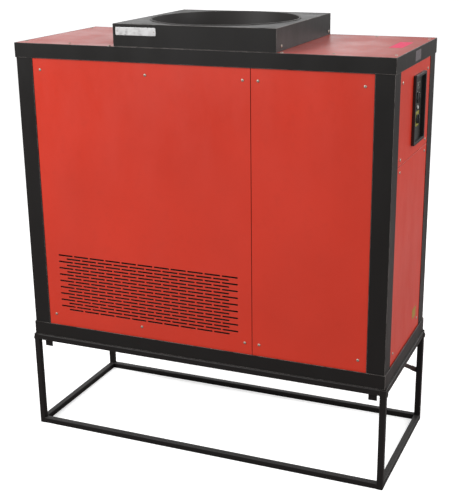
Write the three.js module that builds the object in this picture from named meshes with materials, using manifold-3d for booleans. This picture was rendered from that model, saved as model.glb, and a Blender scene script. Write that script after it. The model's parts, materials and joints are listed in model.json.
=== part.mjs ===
// Refrigerated air dryer: a sheet-metal cabinet with a top discharge fan, standing on a tube stand.
// Millimetres, +Z up. The front faces -Y. The origin is on the floor under the cabinet's centre.
import * as THREE from 'three';
import { mergeVertices } from 'three/addons/utils/BufferGeometryUtils.js';
import Module from 'manifold-3d';

const wasm = await Module();
wasm.setup();

// ---- Driving dimensions ----

const GAP = 0.3; // clearance between neighbouring pieces

const STAND_WIDTH = 1260;
const STAND_DEPTH = 526;
const STAND_HEIGHT = 343;
const TUBE = 20; // square tube of the stand
const TUBE_WALL = 2;
const TUBE_CORNER = 2.5;
const LUG = { width: 27, drop: 27, thickness: 4, edge: 33 }; // edge: stand side to lug

const CABINET_WIDTH = 1250;
const CABINET_DEPTH = 516;
const CABINET_TOP = 1348;
const BAND_HEIGHT = 47; // cap band and base tray
const BAND_SHEET = 2.4;
const BAND_LEDGE = 16; // ledge of the cap frame under the top panel
const SHEET = 2; // frame and bulkhead sheet
const PANEL_SHEET = 1.5;

const POST_FACE_FRONT = 58.3; // visible width of a corner post
const POST_FACE_SIDE = 62.3;
const POST_RETURN = 6; // depth of the fold that the panels sit in
const POST_LEDGE = 16; // width of the fold that the panels are screwed to
const PANEL_RECESS = 2; // panels lie this far behind the post faces
const PANEL_TUCK = 11; // panels run on behind the cap band and the base tray
const PANEL_EDGE = 1; // gap round each panel
const SEAM_X = 188; // joint between the two front panels, and the two rear ones
const SEAM_Z = 1020; // joint between the upper and lower side panels
const MULLION = { width: 44, depth: 20 };

const GRILLE = { rows: 18, topZ: 643, pitchZ: 11.37, slot: 55, height: 5, pitchX: 60 };
const GRILLE_ROWS = [ // odd rows start at the first slot, even rows half a step in
  { firstX: -514, slots: 11 },
  { firstX: -484, slots: 10 },
];

const FAN_X = 4;
const FAN_Y = -3;
const COWL = { width: 534, depth: 509, base: 1348.3, top: 1417.2, sheet: 2, flange: 14 };
const COLLAR = { inner: 233, sheet: 2, bottom: 1282, lip: 7, lipHeight: 1.6 };
const COLLAR_CLEARANCE = 1;
const GUARD = { bottom: 1353, wire: 3, rings: [54, 113, 171, 229], bar: 5, clearance: 2 };
const IMPELLER = { blades: 5, tip: 225, hub: 55, bottom: 1302, height: 40, chord: 88, sheet: 3 };
const IMPELLER_PITCH = 28 * Math.PI / 180;
const SHAFT = { radius: 8, bottom: 1245, clearance: 0.3 };
const MOTOR = { radius: 72, bottom: 1176, top: 1289 };
const MOTOR_PLATE = { radius: 70, bore: 20, thickness: 4, arm: 25, tab: 12, clearance: 1.5 };

const BULKHEAD_TOP = 1275;
const COIL = { left: -530, right: 160, top: 760, plate: 2, lip: 3 };
const COIL_BENDS = { rows: 4, tube: 5, radius: 14 };
const EVAPORATOR = { front: -200, back: -124, tubeY: -165 };
const CONDENSER = { front: -82, back: -8, tubeY: -45 };
const FILTER = { left: -530, right: 160, front: -236, back: -218, top: 700 };
const DRIP_TRAY = { left: -546, right: 178, front: -212, back: -112, height: 30, sheet: 1.5 };

const COMPRESSOR = { x: 360, y: -45, radius: 100, bottom: 357, shoulder: 640, top: 690 };
const COMPRESSOR_FOOT = { size: 236, plate: 5, rubber: 15 };
const RECEIVER = { x: 540, y: 120, radius: 45, top: 620, dome: 25 };
const DRIER = { radius: 24, bottom: 640, top: 760, stub: 20, stubRadius: 5 };
const SUCTION = { radius: 8, z: 700, portZ: 600 };
const DISCHARGE = { radius: 6, z: 730 };
const LIQUID = { radius: 5, z: 400, highZ: 830, x: 225, y: -105 };
const CONDENSER_PIPE_X = 215;
const VALVE = { radius: 14, length: 36, x: 225 };
const HOLE_MARGIN = 4; // bulkhead holes are this much larger than the pipes

const WINDOW = { front: -30, back: 109, bottom: 1053, top: 1266, face: 630, bar: 9, neck: 4.4 };
const FASCIA = { front: -38, back: 117, bottom: 1045, top: 1274, face: 617.3, sheet: 2 };
const ELECTRICAL_BOX = { depth: 115, sheet: 2, margin: 3 };
const ISOLATOR = { y: 43, z: 1125, plate: 46, plateSheet: 1.5, radius: 15, disc: 3, grip: 8, reach: 627 };
const HUMIDISTAT = { y: 43, z: 1190, radius: 17, disc: 6, grip: 3, reach: 625.5 };
const RESET = { y: 43, z: 1161, radius: 5, reach: 622, length: 8 };
const METER = { y: 43, z: 1228, width: 40, height: 22, depth: 3 };
const SPINDLE = 4; // radius of the knob spindles
const SPINDLE_CLEARANCE = 0.3;

const DRAIN = { x: 556, y: 30, radius: 7.5, wall: 1.5, bendZ: 322, flange: 11 };
const DRAIN_END = new THREE.Vector3(598.8, 256, 191);
const DRAIN_COUPLER = { radius: 9.2, length: 45 };
const GLAND = { x: 430, y: 170, neck: 9.9, bore: 5.5, nut: 15, lockNut: 5, body: 12, dome: 9 };

// ---- Levels and planes worked out from the dimensions ----

const trayBottom = STAND_HEIGHT + GAP;
const trayTop = STAND_HEIGHT + BAND_HEIGHT;
const floorZ = trayBottom + BAND_SHEET + GAP; // where the inner pieces stand
const capBottom = CABINET_TOP - BAND_HEIGHT;
const topPanelTop = CABINET_TOP - GAP;
const topPanelBottom = topPanelTop - SHEET;
const ledgeTop = topPanelBottom - GAP;
const ledgeBottom = ledgeTop - SHEET;
const postTop = ledgeBottom - GAP;
const postX = CABINET_WIDTH / 2 - BAND_SHEET - GAP; // outer faces of the posts
const postY = CABINET_DEPTH / 2 - BAND_SHEET - GAP;
const openingX = postX - POST_FACE_FRONT; // half width of the front and rear openings
const openingY = postY - POST_FACE_SIDE; // half width of the side openings
const panelBottom = trayTop - PANEL_TUCK;
const panelTop = capBottom + PANEL_TUCK;
const panelDepth = POST_RETURN - PANEL_RECESS - GAP;
const mountPlateBottom = MOTOR.top + GAP;
const mountPlateTop = mountPlateBottom + MOTOR_PLATE.thickness;

// ---- Materials ----

function finish(color, roughness, metalness) {
  return new THREE.MeshStandardMaterial({ color, roughness, metalness });
}

const redPowder = finish(0xb82a1e, 0.35, 0.0);
const blackPowder = finish(0x23211f, 0.45, 0.0);
const blackTube = finish(0x262523, 0.5, 0.0);
const galvanised = finish(0x9a9c9c, 0.5, 0.8);
const aluminium = finish(0xb9bcbe, 0.4, 0.9);
const castGrey = finish(0x4a4c4f, 0.6, 0.2);
const copper = finish(0xa8603c, 0.35, 1.0);
const steelBlack = finish(0x1c1d1f, 0.5, 0.1);
const filterWhite = finish(0xd8d8d2, 0.95, 0.0);
const blackPlastic = finish(0x17181a, 0.45, 0.0);
const greyPlastic = finish(0x4d4c4a, 0.5, 0.0);
const yellowPlastic = finish(0xb9a22c, 0.5, 0.0);
const whitePlastic = finish(0xd5d3ce, 0.4, 0.0);
const brownPlastic = finish(0x3a2a27, 0.45, 0.0);

// ---- Solids ----

function toSolid(geometry) {
  const bare = geometry.clone();
  bare.deleteAttribute('normal');
  bare.deleteAttribute('uv');
  const merged = mergeVertices(bare, 1e-4);
  return new wasm.Manifold(new wasm.Mesh({
    numProp: 3,
    vertProperties: new Float32Array(merged.attributes.position.array),
    triVerts: new Uint32Array(merged.index.array),
  }));
}

function toGeometry(solid) {
  const mesh = solid.getMesh();
  const geometry = new THREE.BufferGeometry();
  geometry.setAttribute('position', new THREE.BufferAttribute(new Float32Array(mesh.vertProperties), 3));
  geometry.setIndex(new THREE.BufferAttribute(new Uint32Array(mesh.triVerts), 1));
  geometry.computeVertexNormals();
  return geometry;
}

function join(...geometries) {
  return toGeometry(geometries.map(toSolid).reduce((whole, piece) => whole.add(piece)));
}

function cut(geometry, ...tools) {
  return toGeometry(tools.map(toSolid).reduce((whole, tool) => whole.subtract(tool), toSolid(geometry)));
}

function keepInside(geometry, limit) {
  return toGeometry(toSolid(geometry).intersect(toSolid(limit)));
}

// A box between two corners.
function block(x0, x1, y0, y1, z0, z1) {
  const geometry = new THREE.BoxGeometry(x1 - x0, y1 - y0, z1 - z0);
  return geometry.translate((x0 + x1) / 2, (y0 + y1) / 2, (z0 + z1) / 2);
}

// An upright round bar.
function bar(radius, z0, z1, segments = 24) {
  const geometry = new THREE.CylinderGeometry(radius, radius, z1 - z0, segments);
  return geometry.rotateX(Math.PI / 2).translate(0, 0, (z0 + z1) / 2);
}

// A round bar along X.
function crossBar(radius, x0, x1, y, z, segments = 24) {
  const geometry = new THREE.CylinderGeometry(radius, radius, x1 - x0, segments);
  return geometry.rotateZ(-Math.PI / 2).translate((x0 + x1) / 2, y, z);
}

// A turned piece about the Z axis, from [radius, height] pairs.
function turned(profile, segments = 32) {
  const points = profile.map(([radius, height]) => new THREE.Vector2(radius, height));
  return new THREE.LatheGeometry(points, segments).rotateX(Math.PI / 2);
}

// A ring of rectangular section about the Z axis.
function ring(inner, outer, z0, z1, segments = 32) {
  return turned([[inner, z0], [outer, z0], [outer, z1], [inner, z1], [inner, z0]], segments);
}

// A flat outline drawn in X and Y, raised from z0 to z1.
function raised(outline, z0, z1, holes = []) {
  const shape = new THREE.Shape(outline.map(([x, y]) => new THREE.Vector2(x, y)));
  for (const hole of holes) {
    shape.holes.push(new THREE.Path(hole.map(([x, y]) => new THREE.Vector2(x, y))));
  }
  return new THREE.ExtrudeGeometry(shape, { depth: z1 - z0, bevelEnabled: false }).translate(0, 0, z0);
}

function rectangle(halfX, halfY) {
  return [[-halfX, -halfY], [halfX, -halfY], [halfX, halfY], [-halfX, halfY]];
}

// A smooth route through corner points, with each inner corner rounded.
function route(corners, bend) {
  const path = new THREE.CurvePath();
  let from = corners[0];
  for (let i = 1; i < corners.length - 1; i += 1) {
    const before = corners[i].clone().sub(from).setLength(bend);
    const after = corners[i + 1].clone().sub(corners[i]).setLength(bend);
    const start = corners[i].clone().sub(before);
    const end = corners[i].clone().add(after);
    path.add(new THREE.LineCurve3(from, start));
    path.add(new THREE.QuadraticBezierCurve3(start, corners[i], end));
    from = end;
  }
  path.add(new THREE.LineCurve3(from, corners[corners.length - 1]));
  return path;
}

// A pipe along a route. A wall makes it hollow.
function pipe(path, radius, steps, { sides = 8, wall = 0 } = {}) {
  const circle = (r) => {
    const points = [];
    for (let i = 0; i < sides; i += 1) {
      const angle = 2 * Math.PI * i / sides;
      points.push(new THREE.Vector2(r * Math.cos(angle), r * Math.sin(angle)));
    }
    return points;
  };
  const section = new THREE.Shape(circle(radius));
  if (wall > 0) section.holes.push(new THREE.Path(circle(radius - wall)));
  return new THREE.ExtrudeGeometry(section, { steps, extrudePath: path, bevelEnabled: false });
}

function corner(x, y, z) {
  return new THREE.Vector3(x, y, z);
}

// ---- Assembly ----

const dryer = new THREE.Group();

function place(parent, name, geometry, material, x = 0, y = 0, z = 0) {
  const mesh = new THREE.Mesh(geometry, material);
  mesh.name = name;
  mesh.position.set(x, y, z);
  parent.add(mesh);
  return mesh;
}

// ---- Stand ----

// A square tube with rounded corners, along Z, with open ends.
function squareTube(length) {
  const half = TUBE / 2;
  const outer = new THREE.Shape();
  outer.moveTo(-half + TUBE_CORNER, -half);
  outer.lineTo(half - TUBE_CORNER, -half);
  outer.absarc(half - TUBE_CORNER, -half + TUBE_CORNER, TUBE_CORNER, -Math.PI / 2, 0);
  outer.absarc(half - TUBE_CORNER, half - TUBE_CORNER, TUBE_CORNER, 0, Math.PI / 2);
  outer.absarc(-half + TUBE_CORNER, half - TUBE_CORNER, TUBE_CORNER, Math.PI / 2, Math.PI);
  outer.absarc(-half + TUBE_CORNER, -half + TUBE_CORNER, TUBE_CORNER, Math.PI, 1.5 * Math.PI);
  const inside = rectangle(half - TUBE_WALL, half - TUBE_WALL);
  outer.holes.push(new THREE.Path(inside.map(([x, y]) => new THREE.Vector2(x, y))));
  return new THREE.ExtrudeGeometry(outer, { depth: length, bevelEnabled: false, curveSegments: 2 });
}

const stand = new THREE.Group();
dryer.add(stand);

const legX = (STAND_WIDTH - TUBE) / 2;
const legY = (STAND_DEPTH - TUBE) / 2;
const railX = STAND_WIDTH - 2 * TUBE - 2 * GAP;
const railY = STAND_DEPTH - 2 * TUBE - 2 * GAP;

for (const [depthName, sideY] of [['front', -1], ['rear', 1]]) {
  for (const [widthName, sideX] of [['left', -1], ['right', 1]]) {
    const name = `stand_leg_${depthName}_${widthName}`;
    place(stand, name, squareTube(STAND_HEIGHT), blackTube, sideX * legX, sideY * legY, 0);
  }
}

// Flat lugs welded to the inner face of a top rail, near both of its ends.
function withLugs(rail, sideY) {
  const lugs = [-1, 1].map((sideX) => {
    const near = sideX * (STAND_WIDTH / 2 - LUG.edge);
    const far = near - sideX * LUG.width;
    const inner = sideY * (TUBE / 2 - 1);
    const outer = inner - sideY * -LUG.thickness;
    return block(Math.min(near, far), Math.max(near, far), Math.min(inner, outer), Math.max(inner, outer),
      -TUBE / 2 - LUG.drop, TUBE / 2 - 2);
  });
  return join(rail, ...lugs);
}

for (const [level, z] of [['bottom', TUBE / 2], ['top', STAND_HEIGHT - TUBE / 2]]) {
  for (const [depthName, sideY] of [['front', -1], ['rear', 1]]) {
    const tube = squareTube(railX).translate(0, 0, -railX / 2).rotateY(Math.PI / 2);
    const rail = level === 'top' ? withLugs(tube, -sideY) : tube;
    place(stand, `stand_${level}_rail_${depthName}`, rail, blackTube, 0, sideY * legY, z);
  }
  for (const [widthName, sideX] of [['left', -1], ['right', 1]]) {
    const rail = squareTube(railY).translate(0, 0, -railY / 2).rotateX(Math.PI / 2);
    place(stand, `stand_${level}_rail_${widthName}`, rail, blackTube, sideX * legX, 0, z);
  }
}

// ---- Cabinet frame ----

const cabinet = new THREE.Group();
dryer.add(cabinet);

const baseTray = cut(
  block(-CABINET_WIDTH / 2, CABINET_WIDTH / 2, -CABINET_DEPTH / 2, CABINET_DEPTH / 2, trayBottom, trayTop),
  block(-CABINET_WIDTH / 2 + BAND_SHEET, CABINET_WIDTH / 2 - BAND_SHEET,
    -CABINET_DEPTH / 2 + BAND_SHEET, CABINET_DEPTH / 2 - BAND_SHEET, trayBottom + BAND_SHEET, trayTop + 1),
  bar(DRAIN.radius + GAP, trayBottom - 1, trayTop).translate(DRAIN.x, DRAIN.y, 0),
  bar(GLAND.neck + GAP, trayBottom - 1, trayTop).translate(GLAND.x, GLAND.y, 0),
);
place(cabinet, 'base_tray', baseTray, blackPowder);

// The folded section of the front left post: outer corner at 0, 0.
const postSection = [
  [0, 0], [POST_FACE_FRONT, 0], [POST_FACE_FRONT, POST_RETURN],
  [POST_FACE_FRONT + POST_LEDGE, POST_RETURN], [POST_FACE_FRONT + POST_LEDGE, POST_RETURN + SHEET],
  [POST_FACE_FRONT - SHEET, POST_RETURN + SHEET], [POST_FACE_FRONT - SHEET, SHEET], [SHEET, SHEET],
  [SHEET, POST_FACE_SIDE - SHEET], [POST_RETURN + SHEET, POST_FACE_SIDE - SHEET],
  [POST_RETURN + SHEET, POST_FACE_SIDE + POST_LEDGE], [POST_RETURN, POST_FACE_SIDE + POST_LEDGE],
  [POST_RETURN, POST_FACE_SIDE], [0, POST_FACE_SIDE],
];

for (const [depthName, sideY] of [['front', 1], ['rear', -1]]) {
  for (const [widthName, sideX] of [['left', 1], ['right', -1]]) {
    const outline = postSection.map(([x, y]) => [sideX * x, sideY * y]);
    const post = raised(outline, floorZ, postTop);
    const name = `corner_post_${depthName}_${widthName}`;
    place(cabinet, name, post, blackPowder, -sideX * postX, -sideY * postY, 0);
  }
}

// A channel with its flat face towards -Y at 0, along Z.
const channelSection = [
  [-MULLION.width / 2, 0], [MULLION.width / 2, 0], [MULLION.width / 2, MULLION.depth],
  [MULLION.width / 2 - SHEET, MULLION.depth], [MULLION.width / 2 - SHEET, SHEET],
  [-MULLION.width / 2 + SHEET, SHEET], [-MULLION.width / 2 + SHEET, MULLION.depth],
  [-MULLION.width / 2, MULLION.depth],
];
const channelY = postY - POST_RETURN;
place(cabinet, 'front_mullion', raised(channelSection, floorZ, postTop), blackPowder, SEAM_X, -channelY, 0);
const rearMullion = raised(channelSection, floorZ, postTop).rotateZ(Math.PI);
place(cabinet, 'rear_mullion', rearMullion, blackPowder, SEAM_X, channelY, 0);

// Cross rails behind the seams of the side panels.
const crossRailHalf = openingY - POST_LEDGE - GAP;
for (const [widthName, sideX] of [['left', -1], ['right', 1]]) {
  const rail = raised(channelSection, -crossRailHalf, crossRailHalf);
  rail.rotateZ(sideX * Math.PI / 2).rotateX(-Math.PI / 2);
  place(cabinet, `side_rail_${widthName}`, rail, blackPowder, sideX * (postX - POST_RETURN), 0, SEAM_Z);
}

const halfBandX = CABINET_WIDTH / 2;
const halfBandY = CABINET_DEPTH / 2;
const capBand = raised(rectangle(halfBandX, halfBandY), capBottom, CABINET_TOP,
  [rectangle(halfBandX - BAND_SHEET, halfBandY - BAND_SHEET)]);
const capLedge = raised(rectangle(halfBandX - 1, halfBandY - 1), ledgeBottom, ledgeTop,
  [rectangle(halfBandX - BAND_SHEET - BAND_LEDGE, halfBandY - BAND_SHEET - BAND_LEDGE)]);
place(cabinet, 'cap_frame', join(capBand, capLedge), blackPowder);

function pipeHole(radius, y, z) {
  return crossBar(radius + HOLE_MARGIN, SEAM_X - 5, SEAM_X + 5, y, z, 12);
}

// The bulkhead between the coil side and the compressor side, with its pipe holes.
const bulkheadHalf = channelY - MULLION.depth - GAP;
const bulkhead = cut(
  join(
    block(SEAM_X - 1, SEAM_X + 1, -bulkheadHalf, bulkheadHalf, floorZ, BULKHEAD_TOP),
    block(SEAM_X - 1, SEAM_X + MULLION.depth, -bulkheadHalf, bulkheadHalf, floorZ, floorZ + SHEET),
  ),
  pipeHole(SUCTION.radius, EVAPORATOR.tubeY, SUCTION.z),
  pipeHole(DISCHARGE.radius, CONDENSER.tubeY, DISCHARGE.z),
  pipeHole(LIQUID.radius, CONDENSER.tubeY, LIQUID.z),
  pipeHole(LIQUID.radius, EVAPORATOR.tubeY, LIQUID.z),
);
place(cabinet, 'bulkhead', bulkhead, galvanised);

// ---- Panels ----

// A shallow folded panel with its face towards -Y at y = 0, from x0 to x1 and z0 to z1.
function foldedPanel(x0, x1, z0, z1) {
  return cut(
    block(x0, x1, 0, panelDepth, z0, z1),
    block(x0 + PANEL_SHEET, x1 - PANEL_SHEET, PANEL_SHEET, panelDepth + 1,
      z0 + PANEL_SHEET, z1 - PANEL_SHEET),
  );
}

const panels = new THREE.Group();
dryer.add(panels);
const panelEdgeX = openingX - PANEL_EDGE;
const panelEdgeY = openingY - PANEL_EDGE;
const frontY = -(postY - PANEL_RECESS);

// The intake slots: staggered rows of cutters that pass through the front sheet.
function grilleSlots() {
  const slots = [];
  for (let row = 0; row < GRILLE.rows; row += 1) {
    const { firstX, slots: count } = GRILLE_ROWS[row % 2];
    const top = GRILLE.topZ - row * GRILLE.pitchZ + GRILLE.height / 2;
    for (let i = 0; i < count; i += 1) {
      const x = firstX + i * GRILLE.pitchX;
      slots.push(block(x, x + GRILLE.slot, -1, PANEL_SHEET + 1, top - GRILLE.height, top));
    }
  }
  return slots;
}

const leftPanel = cut(foldedPanel(-panelEdgeX, SEAM_X - PANEL_EDGE, panelBottom, panelTop), ...grilleSlots());
place(panels, 'front_panel_left', leftPanel, redPowder, 0, frontY, 0);
const rightPanel = foldedPanel(SEAM_X + PANEL_EDGE, panelEdgeX, panelBottom, panelTop);
place(panels, 'front_panel_right', rightPanel, redPowder, 0, frontY, 0);

for (const [name, x0, x1] of [
  ['rear_panel_right', -panelEdgeX, -SEAM_X - PANEL_EDGE],
  ['rear_panel_left', -SEAM_X + PANEL_EDGE, panelEdgeX],
]) {
  const rear = foldedPanel(x0, x1, panelBottom, panelTop).rotateZ(Math.PI);
  place(panels, name, rear, redPowder, 0, -frontY, 0);
}

const sidePlane = postX - PANEL_RECESS;
for (const [level, z0, z1] of [
  ['lower', panelBottom, SEAM_Z - PANEL_EDGE],
  ['upper', SEAM_Z + PANEL_EDGE, panelTop],
]) {
  const left = foldedPanel(-panelEdgeY, panelEdgeY, z0, z1).rotateZ(-Math.PI / 2);
  place(panels, `side_panel_left_${level}`, left, redPowder, -sidePlane, 0, 0);
  let right = foldedPanel(-panelEdgeY, panelEdgeY, z0, z1).rotateZ(Math.PI / 2);
  if (level === 'upper') {
    const inset = WINDOW.neck;
    right = cut(right, block(-panelDepth - 1, 1, WINDOW.front + inset, WINDOW.back - inset,
      WINDOW.bottom + inset, WINDOW.top - inset));
  }
  place(panels, `side_panel_right_${level}`, right, redPowder, sidePlane, 0, 0);
}

const topPanelHalfX = halfBandX - BAND_SHEET - GAP;
const topPanelHalfY = halfBandY - BAND_SHEET - GAP;
const topPanel = cut(
  block(-topPanelHalfX, topPanelHalfX, -topPanelHalfY, topPanelHalfY, topPanelBottom, topPanelTop),
  bar(COLLAR.inner + COLLAR.sheet + COLLAR_CLEARANCE, topPanelBottom - 1, topPanelTop + 1, 48)
    .translate(FAN_X, FAN_Y, 0),
);
place(panels, 'top_panel', topPanel, redPowder);

// ---- Fan ----

const fan = new THREE.Group();
fan.position.set(FAN_X, FAN_Y, 0);
dryer.add(fan);

const cowlX = COWL.width / 2;
const cowlY = COWL.depth / 2;
const cowl = cut(
  block(-cowlX, cowlX, -cowlY, cowlY, COWL.base, COWL.top),
  block(-cowlX + COWL.sheet, cowlX - COWL.sheet, -cowlY + COWL.sheet, cowlY - COWL.sheet,
    COWL.base + COWL.sheet, COWL.top - COWL.sheet),
  block(-cowlX + COWL.flange, cowlX - COWL.flange, -cowlY + COWL.flange, cowlY - COWL.flange,
    COWL.base - 1, COWL.base + COWL.sheet + 1),
  bar(COLLAR.inner + COLLAR.sheet + COLLAR_CLEARANCE, COWL.top - 10, COWL.top + 1, 48),
);
place(fan, 'fan_cowl', cowl, blackPowder);

// The collar hangs in the cowl from its lip and lines the fan's throat.
const lipBottom = COWL.top + GAP;
const lipTop = lipBottom + COLLAR.lipHeight;
const collarOuter = COLLAR.inner + COLLAR.sheet;
const collar = turned([
  [COLLAR.inner, COLLAR.bottom], [collarOuter, COLLAR.bottom], [collarOuter, lipBottom],
  [COLLAR.inner + COLLAR.lip, lipBottom], [COLLAR.inner + COLLAR.lip, lipTop],
  [COLLAR.inner, lipTop], [COLLAR.inner, COLLAR.bottom],
], 40);
place(fan, 'fan_collar', collar, blackPowder);

const guardTop = GUARD.bottom + GUARD.wire;
const guard = join(
  ...GUARD.rings.map((r) => ring(r - GUARD.wire / 2, r + GUARD.wire / 2, GUARD.bottom, guardTop, 24)),
  block(-COLLAR.inner, COLLAR.inner, -GUARD.bar / 2, GUARD.bar / 2, GUARD.bottom, guardTop),
  block(-GUARD.bar / 2, GUARD.bar / 2, -COLLAR.inner, COLLAR.inner, GUARD.bottom, guardTop),
);
const guardLimit = bar(COLLAR.inner - GUARD.clearance, GUARD.bottom - 1, guardTop + 1, 40);
place(fan, 'fan_guard', keepInside(guard, guardLimit), blackPowder);

// The impeller: a hub with flat pitched blades and its shaft below.
const impellerMiddle = IMPELLER.bottom + IMPELLER.height / 2;
const bladeOutline = [
  [IMPELLER.hub - 10, -IMPELLER.chord * 0.36], [IMPELLER.tip + 5, -IMPELLER.chord / 2],
  [IMPELLER.tip + 5, IMPELLER.chord / 2], [IMPELLER.hub - 10, IMPELLER.chord * 0.36],
];
const blades = [];
for (let i = 0; i < IMPELLER.blades; i += 1) {
  const blade = raised(bladeOutline, -IMPELLER.sheet / 2, IMPELLER.sheet / 2);
  blade.rotateX(IMPELLER_PITCH).rotateZ(2 * Math.PI * i / IMPELLER.blades).translate(0, 0, impellerMiddle);
  blades.push(blade);
}
const hub = turned([
  [0, IMPELLER.bottom], [IMPELLER.hub, IMPELLER.bottom], [IMPELLER.hub, impellerMiddle + 10],
  [IMPELLER.hub - 12, IMPELLER.bottom + IMPELLER.height], [0, IMPELLER.bottom + IMPELLER.height],
]);
const impeller = keepInside(
  join(hub, bar(SHAFT.radius, SHAFT.bottom, impellerMiddle, 16), ...blades),
  bar(IMPELLER.tip, SHAFT.bottom - 1, CABINET_TOP, 48),
);
place(fan, 'fan_impeller', impeller, aluminium);

const motorBody = turned([
  [0, MOTOR.bottom], [MOTOR.radius - 12, MOTOR.bottom], [MOTOR.radius, MOTOR.bottom + 12],
  [MOTOR.radius, MOTOR.top - 9], [MOTOR.radius - 6, MOTOR.top], [0, MOTOR.top],
]);
const terminalBox = block(MOTOR.radius - 10, MOTOR.radius + 28, -28, 28, MOTOR.bottom + 30, MOTOR.top - 25);
const motor = cut(join(motorBody, terminalBox),
  bar(SHAFT.radius + SHAFT.clearance, SHAFT.bottom - 2, MOTOR.top + 1, 16));
place(fan, 'fan_motor', motor, castGrey);

// The motor hangs from a plate on four arms inside the collar.
const armReach = Math.sqrt((COLLAR.inner - MOTOR_PLATE.clearance) ** 2 - (MOTOR_PLATE.arm / 2) ** 2);
const mountPieces = [bar(MOTOR_PLATE.radius, mountPlateBottom, mountPlateTop, 32)];
for (let i = 0; i < 4; i += 1) {
  const halfArm = MOTOR_PLATE.arm / 2;
  const arm = block(0, armReach, -halfArm, halfArm, mountPlateBottom, mountPlateTop);
  const tab = block(armReach - MOTOR_PLATE.thickness, armReach, -halfArm, halfArm,
    mountPlateBottom, mountPlateTop + MOTOR_PLATE.tab);
  const turn = Math.PI / 4 + i * Math.PI / 2;
  mountPieces.push(arm.rotateZ(turn), tab.rotateZ(turn));
}
const motorMount = cut(join(...mountPieces), bar(MOTOR_PLATE.bore, mountPlateBottom - 1, mountPlateTop + 1));
place(fan, 'fan_motor_mount', motorMount, galvanised);

// ---- Coils, filter and drip tray ----

const inside = new THREE.Group();
dryer.add(inside);

// A finned coil with end plates, and return bends that show at its left end.
function coil(front, back, bottom) {
  const pieces = [
    block(COIL.left, COIL.right, front + COIL.lip, back - COIL.lip, bottom + COIL.lip, COIL.top - COIL.lip),
    block(COIL.left, COIL.left + COIL.plate, front, back, bottom, COIL.top),
    block(COIL.right - COIL.plate, COIL.right, front, back, bottom, COIL.top),
  ];
  const pitch = (COIL.top - bottom) / COIL_BENDS.rows;
  const y = (front + back) / 2;
  const bendLeft = COIL.left - COIL_BENDS.radius;
  for (let row = 0; row < COIL_BENDS.rows; row += 1) {
    const low = bottom + (row + 0.5) * pitch - COIL_BENDS.radius;
    const high = low + 2 * COIL_BENDS.radius;
    const bend = route([
      corner(COIL.left + 1, y, low), corner(bendLeft, y, low),
      corner(bendLeft, y, high), corner(COIL.left + 1, y, high),
    ], COIL_BENDS.radius * 0.8);
    pieces.push(pipe(bend, COIL_BENDS.tube, 6, { sides: 6 }));
  }
  return join(...pieces);
}

const dripTray = cut(
  block(DRIP_TRAY.left, DRIP_TRAY.right, DRIP_TRAY.front, DRIP_TRAY.back, floorZ, floorZ + DRIP_TRAY.height),
  block(DRIP_TRAY.left + DRIP_TRAY.sheet, DRIP_TRAY.right - DRIP_TRAY.sheet,
    DRIP_TRAY.front + DRIP_TRAY.sheet, DRIP_TRAY.back - DRIP_TRAY.sheet,
    floorZ + DRIP_TRAY.sheet, floorZ + DRIP_TRAY.height + 1),
  crossBar(DRAIN.radius, DRIP_TRAY.right - 3, DRIP_TRAY.right + 1, EVAPORATOR.tubeY, floorZ + 12, 12),
);
place(inside, 'drip_tray', dripTray, galvanised);
const evaporatorBottom = floorZ + DRIP_TRAY.sheet + GAP;
const evaporator = coil(EVAPORATOR.front, EVAPORATOR.back, evaporatorBottom);
place(inside, 'evaporator_coil', evaporator, aluminium);
place(inside, 'condenser_coil', coil(CONDENSER.front, CONDENSER.back, floorZ), aluminium);
place(inside, 'air_filter',
  block(FILTER.left, FILTER.right, FILTER.front, FILTER.back, floorZ, FILTER.top), filterWhite);

// ---- Compressor circuit ----

const footHalf = COMPRESSOR_FOOT.size / 2;
const compressorPieces = [
  turned([
    [0, COMPRESSOR.bottom], [COMPRESSOR.radius - 25, COMPRESSOR.bottom],
    [COMPRESSOR.radius, COMPRESSOR.bottom + 25], [COMPRESSOR.radius, COMPRESSOR.shoulder],
    [COMPRESSOR.radius * 0.82, COMPRESSOR.shoulder + 32], [COMPRESSOR.radius * 0.4, COMPRESSOR.top],
    [0, COMPRESSOR.top],
  ], 24),
  block(-footHalf, footHalf, -footHalf, footHalf,
    COMPRESSOR.bottom - COMPRESSOR_FOOT.plate, COMPRESSOR.bottom + 1),
  block(COMPRESSOR.radius - 12, COMPRESSOR.radius + 30, -30, 30, 470, 560),
];
for (const footX of [-1, 1]) {
  for (const footY of [-1, 1]) {
    const rubber = bar(COMPRESSOR_FOOT.rubber, floorZ, COMPRESSOR.bottom - 1, 12);
    const inset = footHalf - COMPRESSOR_FOOT.rubber - 3;
    compressorPieces.push(rubber.translate(footX * inset, footY * inset, 0));
  }
}
place(inside, 'compressor', join(...compressorPieces), steelBlack, COMPRESSOR.x, COMPRESSOR.y, 0);

const receiver = turned([
  [0, floorZ], [RECEIVER.radius - 12, floorZ], [RECEIVER.radius, floorZ + 12],
  [RECEIVER.radius, RECEIVER.top - RECEIVER.dome], [RECEIVER.radius - 15, RECEIVER.top - 6],
  [12, RECEIVER.top], [0, RECEIVER.top],
], 20);
place(inside, 'liquid_receiver', receiver, steelBlack, RECEIVER.x, RECEIVER.y, 0);

const drier = turned([
  [0, RECEIVER.top + GAP], [DRIER.stubRadius, RECEIVER.top + GAP], [DRIER.stubRadius, DRIER.bottom],
  [DRIER.radius, DRIER.bottom + 16], [DRIER.radius, DRIER.top - 16], [DRIER.stubRadius, DRIER.top],
  [DRIER.stubRadius, DRIER.top + DRIER.stub], [0, DRIER.top + DRIER.stub],
], 16);
place(inside, 'filter_drier', drier, copper, RECEIVER.x, RECEIVER.y, 0);

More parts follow.
